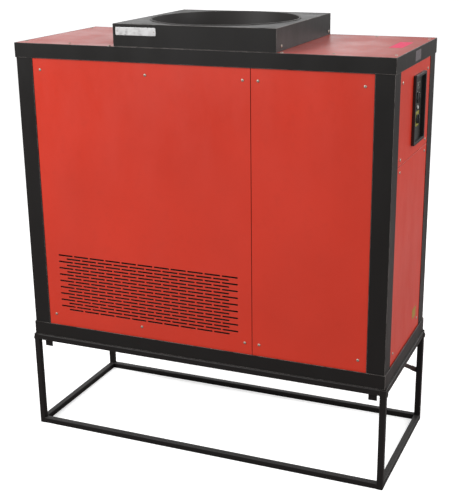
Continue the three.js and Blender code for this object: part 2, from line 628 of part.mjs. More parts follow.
const coilPort = COIL.right + GAP;
const suctionRoute = route([
  corner(coilPort, EVAPORATOR.tubeY, SUCTION.z), corner(COMPRESSOR.x, EVAPORATOR.tubeY, SUCTION.z),
  corner(COMPRESSOR.x, EVAPORATOR.tubeY, SUCTION.portZ),
  corner(COMPRESSOR.x, COMPRESSOR.y - COMPRESSOR.radius - GAP, SUCTION.portZ),
], 12);
place(inside, 'suction_pipe', pipe(suctionRoute, SUCTION.radius, 24, { sides: 6 }), copper);

const dischargeRoute = route([
  corner(COMPRESSOR.x, COMPRESSOR.y, COMPRESSOR.top + GAP), corner(COMPRESSOR.x, COMPRESSOR.y, DISCHARGE.z),
  corner(coilPort, COMPRESSOR.y, DISCHARGE.z),
], 20);
place(inside, 'discharge_pipe', pipe(dischargeRoute, DISCHARGE.radius, 14, { sides: 6 }), copper);

const condenserRoute = route([
  corner(coilPort, CONDENSER.tubeY, LIQUID.z), corner(CONDENSER_PIPE_X, CONDENSER.tubeY, LIQUID.z),
  corner(CONDENSER_PIPE_X, RECEIVER.y, LIQUID.z),
  corner(RECEIVER.x - RECEIVER.radius - GAP, RECEIVER.y, LIQUID.z),
], 16);
place(inside, 'condenser_pipe', pipe(condenserRoute, LIQUID.radius, 28, { sides: 6 }), copper);

const liquidRoute = route([
  corner(RECEIVER.x, RECEIVER.y, DRIER.top + DRIER.stub + GAP), corner(RECEIVER.x, RECEIVER.y, LIQUID.highZ),
  corner(LIQUID.x, RECEIVER.y, LIQUID.highZ), corner(LIQUID.x, LIQUID.y, LIQUID.highZ),
  corner(LIQUID.x, LIQUID.y, LIQUID.z),
  corner(LIQUID.x, EVAPORATOR.tubeY + VALVE.radius + GAP, LIQUID.z),
], 20);
place(inside, 'liquid_pipe', pipe(liquidRoute, LIQUID.radius, 40, { sides: 6 }), copper);

// The valve meters liquid through the bulkhead into the evaporator.
const halfValve = VALVE.length / 2;
const valve = join(
  crossBar(VALVE.radius, VALVE.x - halfValve, VALVE.x + halfValve, EVAPORATOR.tubeY, LIQUID.z, 6),
  crossBar(LIQUID.radius, coilPort, VALVE.x, EVAPORATOR.tubeY, LIQUID.z, 10),
  bar(VALVE.radius, LIQUID.z + 6, LIQUID.z + 34, 12).translate(VALVE.x, EVAPORATOR.tubeY, 0),
);
place(inside, 'expansion_valve', valve, copper);

// ---- Controls ----

const controls = new THREE.Group();
dryer.add(controls);

const bezelBack = sidePlane + GAP;
const neckBack = FASCIA.face + GAP;
const bezel = cut(
  join(
    block(bezelBack, WINDOW.face, WINDOW.front, WINDOW.back, WINDOW.bottom, WINDOW.top),
    block(neckBack, bezelBack + 1, WINDOW.front + WINDOW.neck + GAP, WINDOW.back - WINDOW.neck - GAP,
      WINDOW.bottom + WINDOW.neck + GAP, WINDOW.top - WINDOW.neck - GAP),
  ),
  block(neckBack - 1, WINDOW.face + 1, WINDOW.front + WINDOW.bar, WINDOW.back - WINDOW.bar,
    WINDOW.bottom + WINDOW.bar, WINDOW.top - WINDOW.bar),
);
place(controls, 'window_bezel', bezel, blackPowder);

const fasciaBack = FASCIA.face - FASCIA.sheet;
const spindleHole = SPINDLE + SPINDLE_CLEARANCE;
const resetHole = RESET.radius + SPINDLE_CLEARANCE;
const fascia = cut(
  block(fasciaBack, FASCIA.face, FASCIA.front, FASCIA.back, FASCIA.bottom, FASCIA.top),
  crossBar(spindleHole, fasciaBack - 1, FASCIA.face + 1, ISOLATOR.y, ISOLATOR.z, 16),
  crossBar(spindleHole, fasciaBack - 1, FASCIA.face + 1, HUMIDISTAT.y, HUMIDISTAT.z, 16),
  crossBar(resetHole, fasciaBack - 1, FASCIA.face + 1, RESET.y, RESET.z, 16),
);
place(controls, 'control_fascia', fascia, greyPlastic);

const boxFront = fasciaBack - GAP;
const boxBack = boxFront - ELECTRICAL_BOX.depth;
const boxY0 = FASCIA.front + ELECTRICAL_BOX.margin;
const boxY1 = FASCIA.back - ELECTRICAL_BOX.margin;
const boxZ0 = FASCIA.bottom + ELECTRICAL_BOX.margin;
const boxZ1 = FASCIA.top - ELECTRICAL_BOX.margin;
const electricalBox = cut(
  block(boxBack, boxFront, boxY0, boxY1, boxZ0, boxZ1),
  block(boxBack + ELECTRICAL_BOX.sheet, boxFront + 1, boxY0 + ELECTRICAL_BOX.sheet,
    boxY1 - ELECTRICAL_BOX.sheet, boxZ0 + ELECTRICAL_BOX.sheet, boxZ1 - ELECTRICAL_BOX.sheet),
);
place(controls, 'electrical_box', electricalBox, galvanised);

const faceX = FASCIA.face + GAP; // where pieces on the fascia begin
const plateHalf = ISOLATOR.plate / 2;
const isolatorPlate = cut(
  block(faceX, faceX + ISOLATOR.plateSheet, ISOLATOR.y - plateHalf, ISOLATOR.y + plateHalf,
    ISOLATOR.z - plateHalf, ISOLATOR.z + plateHalf),
  crossBar(spindleHole, faceX - 1, faceX + 3, ISOLATOR.y, ISOLATOR.z, 16),
);
place(controls, 'isolator_plate', isolatorPlate, yellowPlastic);

// A knob on its spindle: a round skirt with a grip bar across it. Its own origin is on its axis.
function knob(radius, skirt, discEnd, grip, reach, backX) {
  return join(
    crossBar(radius, skirt, discEnd, 0, 0, 24),
    block(discEnd - 1, reach, -grip / 2, grip / 2, -radius + 1, radius - 1),
    crossBar(SPINDLE, backX, skirt + 1, 0, 0, 16),
  );
}

const isolatorSkirt = faceX + ISOLATOR.plateSheet + GAP;
const isolatorKnob = knob(ISOLATOR.radius, isolatorSkirt, isolatorSkirt + ISOLATOR.disc,
  ISOLATOR.grip, ISOLATOR.reach, fasciaBack - 6);
place(controls, 'isolator_knob', isolatorKnob, blackPlastic, 0, ISOLATOR.y, ISOLATOR.z);
const humidistatKnob = knob(HUMIDISTAT.radius, faceX, faceX + HUMIDISTAT.disc,
  HUMIDISTAT.grip, HUMIDISTAT.reach, fasciaBack - 6);
place(controls, 'humidistat_knob', humidistatKnob, blackPlastic, 0, HUMIDISTAT.y, HUMIDISTAT.z);

const resetButton = crossBar(RESET.radius, RESET.reach - RESET.length, RESET.reach, 0, 0, 20);
place(controls, 'reset_button', resetButton, whitePlastic, 0, RESET.y, RESET.z);

place(controls, 'hour_meter', block(faceX, faceX + METER.depth, METER.y - METER.width / 2,
  METER.y + METER.width / 2, METER.z - METER.height / 2, METER.z + METER.height / 2), whitePlastic);

// ---- Condensate drain ----

const drain = new THREE.Group();
dryer.add(drain);

const drainTop = corner(DRAIN.x, DRAIN.y, trayBottom + BAND_SHEET + 1);
const drainBend = corner(DRAIN.x, DRAIN.y, DRAIN.bendZ);
const drainDirection = DRAIN_END.clone().sub(drainBend).normalize();

// A hollow sleeve along the sloping pipe, from one distance before its end to another.
function sleeve(inner, outer, before, after) {
  const geometry = ring(inner, outer, -before, -after, 16);
  const turn = new THREE.Quaternion().setFromUnitVectors(corner(0, 0, 1), drainDirection);
  return geometry.applyQuaternion(turn).translate(DRAIN_END.x, DRAIN_END.y, DRAIN_END.z);
}

const drainPipe = join(
  pipe(route([drainTop, drainBend, DRAIN_END], 16), DRAIN.radius, 16, { sides: 10, wall: DRAIN.wall }),
  sleeve(DRAIN.radius - 0.8, DRAIN_COUPLER.radius, DRAIN_COUPLER.length, 0),
  ring(DRAIN.radius - 0.8, DRAIN.flange, trayBottom + BAND_SHEET + GAP, drainTop.z, 12)
    .translate(DRAIN.x, DRAIN.y, 0),
);
place(drain, 'drain_pipe', drainPipe, brownPlastic);

// ---- Cable gland ----

// It is screwed through the floor of the base tray: a hexagon and dome below, and a lock nut above.
const glandTop = floorZ + GLAND.lockNut;
const hexagonBottom = trayBottom - GAP - GLAND.body;
const domeBottom = hexagonBottom - GLAND.dome;
const gland = cut(
  join(
    bar(GLAND.nut, hexagonBottom, trayBottom - GAP, 6),
    turned([
      [0, domeBottom], [GLAND.nut * 0.55, domeBottom], [GLAND.nut * 0.8, domeBottom + GLAND.dome * 0.6],
      [GLAND.nut * 0.86, hexagonBottom + 1], [0, hexagonBottom + 1],
    ], 20),
    bar(GLAND.neck, trayBottom - GAP - 1, floorZ + 1, 20),
    bar(GLAND.nut, floorZ, glandTop, 6),
  ),
  bar(GLAND.bore, domeBottom - 1, glandTop + 1, 16),
);
place(controls, 'cable_gland', gland, blackPlastic, GLAND.x, GLAND.y, 0);

export default dryer;
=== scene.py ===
"""The looks of the refrigerated air dryer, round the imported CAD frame, in metres, front towards -Y."""

import json
import math
import random

import bmesh
import bpy
from mathutils import Matrix, Vector


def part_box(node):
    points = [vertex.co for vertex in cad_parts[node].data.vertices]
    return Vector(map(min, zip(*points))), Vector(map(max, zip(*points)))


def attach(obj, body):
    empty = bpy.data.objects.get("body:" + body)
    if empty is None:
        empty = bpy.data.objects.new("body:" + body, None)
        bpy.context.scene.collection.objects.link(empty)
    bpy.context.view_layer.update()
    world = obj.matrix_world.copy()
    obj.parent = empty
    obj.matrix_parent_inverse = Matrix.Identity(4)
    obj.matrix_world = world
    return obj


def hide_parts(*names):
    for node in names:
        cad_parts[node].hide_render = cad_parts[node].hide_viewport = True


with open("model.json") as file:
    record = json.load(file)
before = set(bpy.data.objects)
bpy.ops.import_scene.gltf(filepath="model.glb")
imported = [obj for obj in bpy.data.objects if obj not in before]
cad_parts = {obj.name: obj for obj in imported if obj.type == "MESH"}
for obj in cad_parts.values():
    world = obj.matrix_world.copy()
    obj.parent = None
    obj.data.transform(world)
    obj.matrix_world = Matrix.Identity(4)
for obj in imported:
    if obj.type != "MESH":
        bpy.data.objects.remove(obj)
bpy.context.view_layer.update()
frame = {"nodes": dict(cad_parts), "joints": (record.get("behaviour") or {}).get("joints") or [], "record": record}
nodes = frame["nodes"]
scene = bpy.context.scene
MM = 0.001
ROW_SEED = 7

# ---- Camera, light and stage ----

CAMERA_PLACE = (1.3144, -3.0507, 1.7235)
CAMERA_YAW = 23.131  # degrees, turned left from looking along +Y
CAMERA_PITCH = 17.889  # degrees, looking down
CAMERA_ROLL = -0.729  # degrees, about the line of sight
CAMERA_LENS = 74.62  # millimetres, on a 36 mm sensor
FLOOR_GLOW = 0.6


def make_camera():
    data = bpy.data.cameras.new("camera")
    data.lens = CAMERA_LENS
    data.sensor_width = 36
    data.clip_end = 200
    camera = bpy.data.objects.new("camera", data)
    scene.collection.objects.link(camera)
    yaw = Matrix.Rotation(math.radians(CAMERA_YAW), 4, "Z")
    pitch = Matrix.Rotation(math.radians(90 - CAMERA_PITCH), 4, "X")
    roll = Matrix.Rotation(math.radians(CAMERA_ROLL), 4, "Z")
    camera.matrix_world = Matrix.Translation(CAMERA_PLACE) @ yaw @ pitch @ roll
    scene.camera = camera


def softbox(name, place, target, width, height, power):
    data = bpy.data.lights.new(name, "AREA")
    data.shape = "RECTANGLE"
    data.size = width
    data.size_y = height
    data.energy = power
    light = bpy.data.objects.new(name, data)
    scene.collection.objects.link(light)
    light.location = place
    light.rotation_euler = (Vector(target) - Vector(place)).to_track_quat("-Z", "Y").to_euler()
    light.visible_camera = False


def make_world(strength):
    world = bpy.data.worlds.new("studio")
    world.use_nodes = True
    background = world.node_tree.nodes["Background"]
    background.inputs["Color"].default_value = (1, 1, 1, 1)
    background.inputs["Strength"].default_value = strength
    scene.world = world


def make_floor(name, half, height, walls, material, seen_by):
    """A square of floor, with walls of a given height round it if any, that only some kinds of ray meet."""
    corners = [(-half, -half), (half, -half), (half, half), (-half, half)]
    points = [(x, y, z) for z in (0, walls) for x, y in corners]
    faces = [(0, 1, 2, 3)]
    if walls:
        faces += [(i, (i + 1) % 4, (i + 1) % 4 + 4, i + 4) for i in range(4)]
    mesh = bpy.data.meshes.new(name)
    mesh.from_pydata(points if walls else points[:4], [], faces)
    mesh.materials.append(material)
    floor = bpy.data.objects.new(name, mesh)
    scene.collection.objects.link(floor)
    floor.location.z = height
    for ray in ("camera", "diffuse", "glossy", "transmission", "volume_scatter", "shadow"):
        setattr(floor, f"visible_{ray}", ray in seen_by)


# ---- Materials ----

# The colour sockets of a mix node, which has others of the same names for other kinds of value.
MIX_FIRST = 6
MIX_SECOND = 7
MIX_RESULT = 2
DUST = (0.2, 0.185, 0.18)
# Light grey put on sharp edges: partly paint worn through, partly a painted highlight for edges that catch the
# light.
EDGE_WEAR_AND_HIGHLIGHT = (0.36, 0.33, 0.31)


class Finish:
    """One node material round a Principled shader, with its patterns in object space, in metres."""

    def __init__(self, name, metallic=0.0, specular=0.5):
        self.material = bpy.data.materials.new(name)
        self.material.use_nodes = True
        self.tree = self.material.node_tree
        self.shader = self.tree.nodes["Principled BSDF"]
        self.shader.inputs["Metallic"].default_value = metallic
        self.shader.inputs["Specular IOR Level"].default_value = specular
        self.place = self.node("ShaderNodeTexCoord").outputs["Object"]
        self.geometry = self.node("ShaderNodeNewGeometry")

    def node(self, kind, **values):
        """A new node, with the sockets of these names set. An underscore stands for the space in a name."""
        node = self.tree.nodes.new(kind)
        for socket, value in values.items():
            node.inputs[socket.replace("_", " ")].default_value = value
        return node

    def link(self, output, socket):
        self.tree.links.new(output, socket)

    def feed(self, value, socket):
        """Puts a colour or a number straight on a socket, and links anything else."""
        if isinstance(value, tuple):
            socket.default_value = (*value, 1)
        elif isinstance(value, (int, float)):
            socket.default_value = value
        else:
            self.link(value, socket)

    def stretched(self, stretch):
        mapping = self.node("ShaderNodeMapping", Scale=stretch)
        self.link(self.place, mapping.inputs["Vector"])
        return mapping.outputs["Vector"]

    def noise(self, scale, detail=2.0, roughness=0.5, stretch=None):
        node = self.node("ShaderNodeTexNoise", Scale=scale, Detail=detail, Roughness=roughness)
        self.link(self.stretched(stretch) if stretch else self.place, node.inputs["Vector"])
        return node.outputs["Fac"]

    def cells(self, scale):
        node = self.node("ShaderNodeTexVoronoi", Scale=scale)
        self.link(self.place, node.inputs["Vector"])
        return node.outputs["Color"]

    def span(self, value, low, high, to_low=0.0, to_high=1.0):
        node = self.node("ShaderNodeMapRange", From_Min=low, From_Max=high, To_Min=to_low, To_Max=to_high)
        self.link(value, node.inputs["Value"])
        return node.outputs["Result"]

    def math(self, operation, first, second):
        node = self.node("ShaderNodeMath")
        node.operation = operation
        self.feed(first, node.inputs[0])
        self.feed(second, node.inputs[1])
        return node.outputs["Value"]

    def mix(self, factor, first, second):
        node = self.node("ShaderNodeMix")
        node.data_type = "RGBA"
        self.link(factor, node.inputs["Factor"])
        self.feed(first, node.inputs[MIX_FIRST])
        self.feed(second, node.inputs[MIX_SECOND])
        return node.outputs[MIX_RESULT]

    def facing_up(self):
        """How far the surface faces up, from 0 to 1."""
        parts = self.node("ShaderNodeSeparateXYZ")
        self.link(self.geometry.outputs["Normal"], parts.inputs["Vector"])
        return self.span(parts.outputs["Z"], 0.2, 0.9)

    def edges(self, radius):
        """Near 1 on sharp edges and 0 on flat faces."""
        bevel = self.node("ShaderNodeBevel", Radius=radius)
        bevel.samples = 4
        dot = self.node("ShaderNodeVectorMath")
        dot.operation = "DOT_PRODUCT"
        self.link(bevel.outputs["Normal"], dot.inputs[0])
        self.link(self.geometry.outputs["Normal"], dot.inputs[1])
        return self.span(dot.outputs["Value"], 0.995, 0.88)

    def color(self, value):
        self.link(value, self.shader.inputs["Base Color"])

    def roughness(self, value):
        self.link(value, self.shader.inputs["Roughness"])

    def bump(self, *layers):
        """Layers are (height, distance in metres), added one on another."""
        last = None
        for height, distance in layers:
            node = self.node("ShaderNodeBump", Strength=1.0, Distance=distance)
            self.link(height, node.inputs["Height"])
            if last is not None:
                self.link(last, node.inputs["Normal"])
            last = node.outputs["Normal"]
        self.link(last, self.shader.inputs["Normal"])


def shade(color, factor):
    return tuple(min(1.0, channel * factor) for channel in color)


def powder_coat(name, color, roughness, specular, dust, wear, rub=1.1 * MM):
    """Baked powder paint: orange peel, slow drift of tone, a little dust on top faces, and light grey edges that
    are partly worn paint and partly a painted highlight.
    """
    finish = Finish(name, specular=specular)
    drift = finish.noise(2.6, 3.0)
    mottle = finish.noise(38.0, 4.0, 0.6)
    tone = finish.mix(finish.span(drift, 0.35, 0.65), shade(color, 0.95), shade(color, 1.05))
    tone = finish.mix(finish.span(mottle, 0.52, 0.78, 0.0, 0.35), tone, shade(color, 0.88))
    grains = finish.span(finish.noise(260.0, 5.0, 0.7), 0.36, 0.7)
    film = finish.math("MULTIPLY", finish.facing_up(), grains)
    tone = finish.mix(finish.math("MULTIPLY", film, dust), tone, DUST)
    # Sharp edges turn light grey: partly worn paint, partly a painted highlight along the bent edges.
    worn_and_lit_edges = finish.math("MULTIPLY", finish.edges(rub), finish.span(mottle, 0.3, 0.55))
    tone = finish.mix(finish.math("MULTIPLY", worn_and_lit_edges, wear), tone, EDGE_WEAR_AND_HIGHLIGHT)
    finish.color(tone)
    smears = finish.noise(9.0, 5.0, 0.62, (1.0, 1.0, 0.35))
    gloss = finish.span(smears, 0.35, 0.7, roughness - 0.05, roughness + 0.07)
    finish.roughness(gloss)
    finish.bump((finish.noise(430.0, 1.5), 0.05 * MM), (finish.noise(2200.0, 1.0), 0.008 * MM))
    return finish.material


def moulded(name, color, roughness, grain):
    """Moulded plastic or rubber with a fine spark-eroded grain."""
    finish = Finish(name)
    cloud = finish.noise(55.0, 4.0, 0.6)
    finish.color(finish.mix(finish.span(cloud, 0.35, 0.7), shade(color, 0.9), shade(color, 1.12)))
    finish.roughness(finish.span(finish.noise(140.0, 3.0), 0.3, 0.7, roughness - 0.06, roughness + 0.08))
    finish.bump((finish.noise(2600.0, 2.0), grain), (finish.noise(300.0, 2.0), grain * 1.5))
    return finish.material


def galvanised():
    finish = Finish("galvanised", metallic=0.85)
    spangle = finish.cells(70.0)
    tone = finish.mix(finish.span(spangle, 0.0, 1.0), (0.36, 0.37, 0.38), (0.58, 0.59, 0.6))
    stains = finish.span(finish.noise(14.0, 6.0, 0.65), 0.52, 0.75, 0.0, 0.55)
    finish.color(finish.mix(stains, tone, (0.27, 0.26, 0.24)))
    finish.roughness(finish.span(spangle, 0.0, 1.0, 0.34, 0.55))
    finish.bump((finish.noise(500.0, 3.0), 0.02 * MM), (finish.noise(60.0, 2.0), 0.05 * MM))
    return finish.material


def bare_metal(name, color, dull, roughness, grain, stretch=None):
    """Metal with dulled patches and a fine grain, drawn out along one axis if stretch is given."""
    finish = Finish(name, metallic=0.95)
    patches = finish.span(finish.noise(32.0, 6.0, 0.62), 0.42, 0.72)
    finish.color(finish.mix(patches, color, dull))
    finish.roughness(finish.span(finish.noise(90.0, 4.0), 0.3, 0.7, roughness - 0.07, roughness + 0.12))
    finish.bump((finish.noise(900.0, 3.0, 0.6, stretch), grain))
    return finish.material


def filter_media():
    finish = Finish("filter_media", specular=0.1)
    threads = finish.noise(1500.0, 3.0, 0.7, (1.0, 1.0, 0.12))
    cross = finish.noise(1500.0, 3.0, 0.7, (0.15, 0.15, 1.0))
    felt = finish.math("ADD", threads, cross)
    caught = finish.span(finish.noise(20.0, 6.0, 0.65), 0.45, 0.7)
    white = finish.mix(finish.span(felt, 0.7, 1.3), (0.1, 0.095, 0.08), (0.18, 0.17, 0.14))
    finish.color(finish.mix(finish.math("MULTIPLY", caught, 0.6), white, (0.13, 0.12, 0.11)))
    finish.roughness(finish.span(felt, 0.6, 1.4, 0.85, 1.0))
    finish.bump((felt, 0.25 * MM))
    return finish.material


def label_stock(name, color, gloss):
    """Printed film: an even colour with faint wear, on a surface that is not quite flat."""
    finish = Finish(name)
    rub = finish.noise(120.0, 6.0, 0.7)
    finish.color(finish.mix(finish.span(rub, 0.48, 0.8, 0.0, 0.5), color, shade(color, 0.8)))
    finish.roughness(finish.span(rub, 0.3, 0.7, gloss, gloss + 0.15))
    finish.bump((finish.noise(45.0, 2.0), 0.06 * MM), (finish.noise(1200.0, 2.0), 0.01 * MM))
    return finish.material


def studio_floor():
    finish = Finish("studio_floor", specular=0.2)
    drift = finish.noise(0.7, 2.0)
    finish.color(finish.mix(drift, (0.88, 0.88, 0.88), (0.9, 0.9, 0.9)))
    finish.roughness(finish.span(drift, 0.0, 1.0, 0.75, 0.85))
    finish.shader.inputs["Emission Color"].default_value = (1, 1, 1, 1)
    finish.shader.inputs["Emission Strength"].default_value = FLOOR_GLOW
    return finish.material


def workshop_floor():
    finish = Finish("workshop_floor", specular=0.1)
    drift = finish.noise(0.9, 3.0)
    finish.color(finish.mix(drift, (0.3, 0.268, 0.262), (0.34, 0.305, 0.3)))
    finish.roughness(finish.span(drift, 0.0, 1.0, 0.85, 0.95))
    return finish.material


# Every slot of the record: what makes its finish, and with which colours and numbers.
SLOT_FINISHES = {
    "powder_red": (powder_coat, (0.58, 0.032, 0.0125), 0.37, 0.5, 0.5, 0.12),
    # On the two blacks the edge reach and strength are raised, so the light edges are partly wear and partly a
    # painted highlight along the bent sheet and tube edges.
    "powder_black": (powder_coat, (0.0068, 0.0062, 0.0058), 0.42, 0.3, 0.2, 0.6, 2.6 * MM),
    "tube_black": (powder_coat, (0.0066, 0.0056, 0.0054), 0.45, 0.3, 0.25, 0.4, 1.4 * MM),
    "guard_black": (moulded, (0.012, 0.012, 0.012), 0.38, 0.01 * MM),
    "galvanised": (galvanised,),
    "aluminium": (bare_metal, (0.62, 0.63, 0.64), (0.42, 0.42, 0.42), 0.42, 0.03 * MM),
    "cast_grey": (powder_coat, (0.085, 0.09, 0.095), 0.5, 0.4, 0.4, 0.3),
    "copper": (bare_metal, (0.72, 0.34, 0.2), (0.36, 0.17, 0.1), 0.34, 0.015 * MM),
    "steel_black": (powder_coat, (0.012, 0.012, 0.013), 0.28, 0.5, 0.35, 0.3),
    "filter_media": (filter_media,),
    "plastic_black": (moulded, (0.011, 0.011, 0.012), 0.45, 0.02 * MM),
    # plastic_grey and plastic_yellow are darkened below their own colours, as painted shade of the recessed
    # control window they sit in.
    "plastic_grey": (moulded, (0.021, 0.021, 0.019), 0.5, 0.02 * MM),
    "plastic_yellow": (moulded, (0.26, 0.23, 0.018), 0.4, 0.01 * MM),
    "plastic_white": (moulded, (0.62, 0.61, 0.58), 0.38, 0.01 * MM),
    "plastic_brown": (moulded, (0.03, 0.016, 0.013), 0.42, 0.015 * MM),
}
FINISHES = {}
for slot, (make, *values) in SLOT_FINISHES.items():
    FINISHES[slot] = make(slot, *values) if values else make()
ZINC = bare_metal("zinc_plate", (0.52, 0.46, 0.4), (0.36, 0.31, 0.26), 0.5, 0.02 * MM)
# A greyer black than the cowl's paint for the fan collar: partly a dustier coat, partly painted light standing for
# light from above on its inner wall.
COLLAR_BLACK = powder_coat("collar_black", (0.028, 0.0255, 0.0245), 0.5, 0.42, 0.3, 0.4)
WELD = bare_metal("weld_bead", (0.05, 0.047, 0.045), (0.03, 0.028, 0.027), 0.5, 0.08 * MM)
# The hour meter sits in the shaded window recess: its white case and drums are darkened as painted shade.
METER_CASE_PAINTED_SHADE = moulded("meter_case", (0.06, 0.058, 0.054), 0.42, 0.01 * MM)
METER_DRUM_PAINTED_SHADE = moulded("meter_drum", (0.16, 0.155, 0.14), 0.42, 0.01 * MM)
PINK_LABEL = label_stock("pink_label", (0.92, 0.045, 0.15), 0.5)
PALE_LABEL = label_stock("pale_label", (0.1, 0.083, 0.092), 0.4)
YELLOW_LABEL = label_stock("yellow_label", (0.34, 0.21, 0.035), 0.4)
PLATE_METAL = bare_metal("plate_metal", (0.6, 0.6, 0.6), (0.52, 0.52, 0.52), 0.4, 0.01 * MM, (0.02, 1.0, 1.0))
DARK_WINDOW = label_stock("dark_window", (0.02, 0.022, 0.024), 0.08)


def flatten_shading(obj):
    """Keeps large faces flat, so that only the small bevels turn the light."""
    weighted = obj.modifiers.new("weighted", "WEIGHTED_NORMAL")
    weighted.mode = "FACE_AREA"
    weighted.weight = 100
    weighted.keep_sharp = True


def dress_frame():
    """Gives each CAD node its finish, rounds its sharp edges a little and shades its bends smoothly."""
    for entry in frame["record"]["subparts"]:
        obj = nodes[entry["node"]]
        obj.data.materials.clear()
        obj.data.materials.append(FINISHES[entry["material_slot"]])
        weld = obj.modifiers.new("weld", "WELD")
        weld.merge_threshold = 0.01 * MM
        flat = obj.modifiers.new("flat", "DECIMATE")
        flat.decimate_type = "DISSOLVE"
        flat.angle_limit = math.radians(0.5)
        bevel = obj.modifiers.new("bevel", "BEVEL")
        bevel.width = 0.7 * MM
        bevel.segments = 2
        bevel.limit_method = "ANGLE"
        bevel.angle_limit = math.radians(32)
        bevel.use_clamp_overlap = True
        flatten_shading(obj)
        obj.data.polygons.foreach_set("use_smooth", [True] * len(obj.data.polygons))


# ---- Mesh building ----


def mesh_from(bm, name):
    """Turns a built mesh into mesh data and frees it."""
    mesh = bpy.data.meshes.new(name)
    bm.to_mesh(mesh)
    bm.free()
    return mesh


def absorb(bm, mesh):
    """Adds mesh data to a built mesh and removes it."""
    bm.from_mesh(mesh)
    bpy.data.meshes.remove(mesh)


def baked(obj):
    """The mesh of an object with its modifiers or its curve worked out."""
    bpy.context.view_layer.update()
    return bpy.data.meshes.new_from_object(obj.evaluated_get(bpy.context.evaluated_depsgraph_get()))


def add_rings(bm, rings, closed=False):
    """Skins a row of loops with equal numbers of points, and caps its ends unless it is closed."""
    loops = [[bm.verts.new(point) for point in ring] for ring in rings]
    pairs = list(zip(loops, loops[1:]))
    if closed:
        pairs.append((loops[-1], loops[0]))
    for lower, upper in pairs:
        for i in range(len(lower)):
            j = (i + 1) % len(lower)
            bm.faces.new((lower[i], lower[j], upper[j], upper[i]))
    if not closed:
        bm.faces.new(reversed(loops[0]))
        bm.faces.new(loops[-1])


def add_turned(bm, profile, segments=48, place=Matrix.Identity(4)):
    """Turns (radius, height) pairs about Z. An end on the axis closes to a point, a loop on itself."""
    looped = profile[0] == profile[-1]
    points = profile[:-1] if looped else profile
    columns = []
    for i in range(segments):
        angle = 2 * math.pi * i / segments
        columns.append((math.cos(angle), math.sin(angle)))
    rows = []
    for radius, height in points:
        if radius < 1e-9:
            rows.append([bm.verts.new(place @ Vector((0, 0, height)))] * segments)
        else:
            rows.append([bm.verts.new(place @ Vector((radius * c, radius * s, height))) for c, s in columns])
    pairs = list(zip(rows, rows[1:]))
    if looped:
        pairs.append((rows[-1], rows[0]))
    for lower, upper in pairs:
        for i in range(segments):
            j = (i + 1) % segments
            corners = dict.fromkeys((lower[i], lower[j], upper[j], upper[i]))
            if len(corners) > 2:
                bm.faces.new(list(corners))


def from_mm(base, *pairs):
    """A turned profile from (radius, height) pairs in millimetres, with the heights counted from base."""
    return [(radius * MM, base + height * MM) for radius, height in pairs]


def add_prism(bm, outline, low, high, place=Matrix.Identity(4)):
    """Raises a flat outline of (x, y) points from low to high."""
    add_rings(bm, [[place @ Vector((x, y, z)) for x, y in outline] for z in (low, high)])


def add_box(bm, low, high, edge=0.0):
    """A box between two corners, with its edges rounded."""
    size = [b - a for a, b in zip(low, high)]
    middle = [(a + b) / 2 for a, b in zip(low, high)]
    place = Matrix.Translation(middle) @ Matrix.Diagonal((*size, 1))
    made = bmesh.ops.create_cube(bm, size=1, matrix=place)
    if edge:
        faces = list({f for v in made["verts"] for f in v.link_faces})
        edges = list({e for f in faces for e in f.edges})
        bmesh.ops.bevel(bm, geom=edges, offset=edge, segments=3, profile=0.5, affect="EDGES")


def add_tube(bm, points, radius, sides=16, swell=None):
    """A round bar along points, closed if it ends at its start. swell(i) scales the radius at point i."""
    closed = (points[0] - points[-1]).length < 1e-9
    path = points[:-1] if closed else points
    count = len(path)
    side = None
    rings = []
    for i, point in enumerate(path):
        before = path[(i - 1) % count] if closed or i > 0 else point
        after = path[(i + 1) % count] if closed or i < count - 1 else point
        along = (after - before).normalized()
        if side is None:
            side = along.orthogonal().normalized()
        side = (side - along * side.dot(along)).normalized()
        up = along.cross(side)
        reach = radius * (swell(i) if swell else 1)
        ring = []
        for k in range(sides):
            angle = 2 * math.pi * k / sides
            ring.append(point + reach * (math.cos(angle) * side + math.sin(angle) * up))
        rings.append(ring)
    add_rings(bm, rings, closed=closed)


def rounded_route(corners, bend, steps=8):
    """Points along straight runs joined by round bends of the given radius."""
    points = [Vector(corners[0])]
    for before, here, after in zip(corners, corners[1:], corners[2:]):
        here = Vector(here)
        back = (Vector(before) - here).normalized()
        ahead = (Vector(after) - here).normalized()
        half = back.angle(ahead) / 2
        middle = here + (back + ahead).normalized() * (bend / math.sin(half))
        start = (here + back * (bend / math.tan(half)) - middle).normalized()
        end = (here + ahead * (bend / math.tan(half)) - middle).normalized()
        points += [middle + start.slerp(end, k / steps) * bend for k in range(steps + 1)]
    points.append(Vector(corners[-1]))
    return points


def circle_points(radius, count, middle=(0, 0), start=0.0, sweep=2 * math.pi, whole=True):
    steps = count if whole else count - 1
    angles = [start + sweep * i / steps for i in range(count)]
    return [(middle[0] + radius * math.cos(a), middle[1] + radius * math.sin(a)) for a in angles]


def rounded_rectangle(x0, x1, y0, y1, radius, steps=6):
    left, right, low, high = x0 + radius, x1 - radius, y0 + radius, y1 - radius
    centres = [(right, low), (right, high), (left, high), (left, low)]
    outline = []
    for quarter, centre in enumerate(centres):
        start = (quarter - 1) * math.pi / 2
        outline += circle_points(radius, steps, centre, start, math.pi / 2, whole=False)
    return outline


def dome(radius, base, rise):
    """The turned profile of a rounded end, from its foot to just short of its top."""
    angles = [k * math.pi / 20 for k in range(10)]
    return [(radius * math.cos(a), base + rise * math.sin(a)) for a in angles]


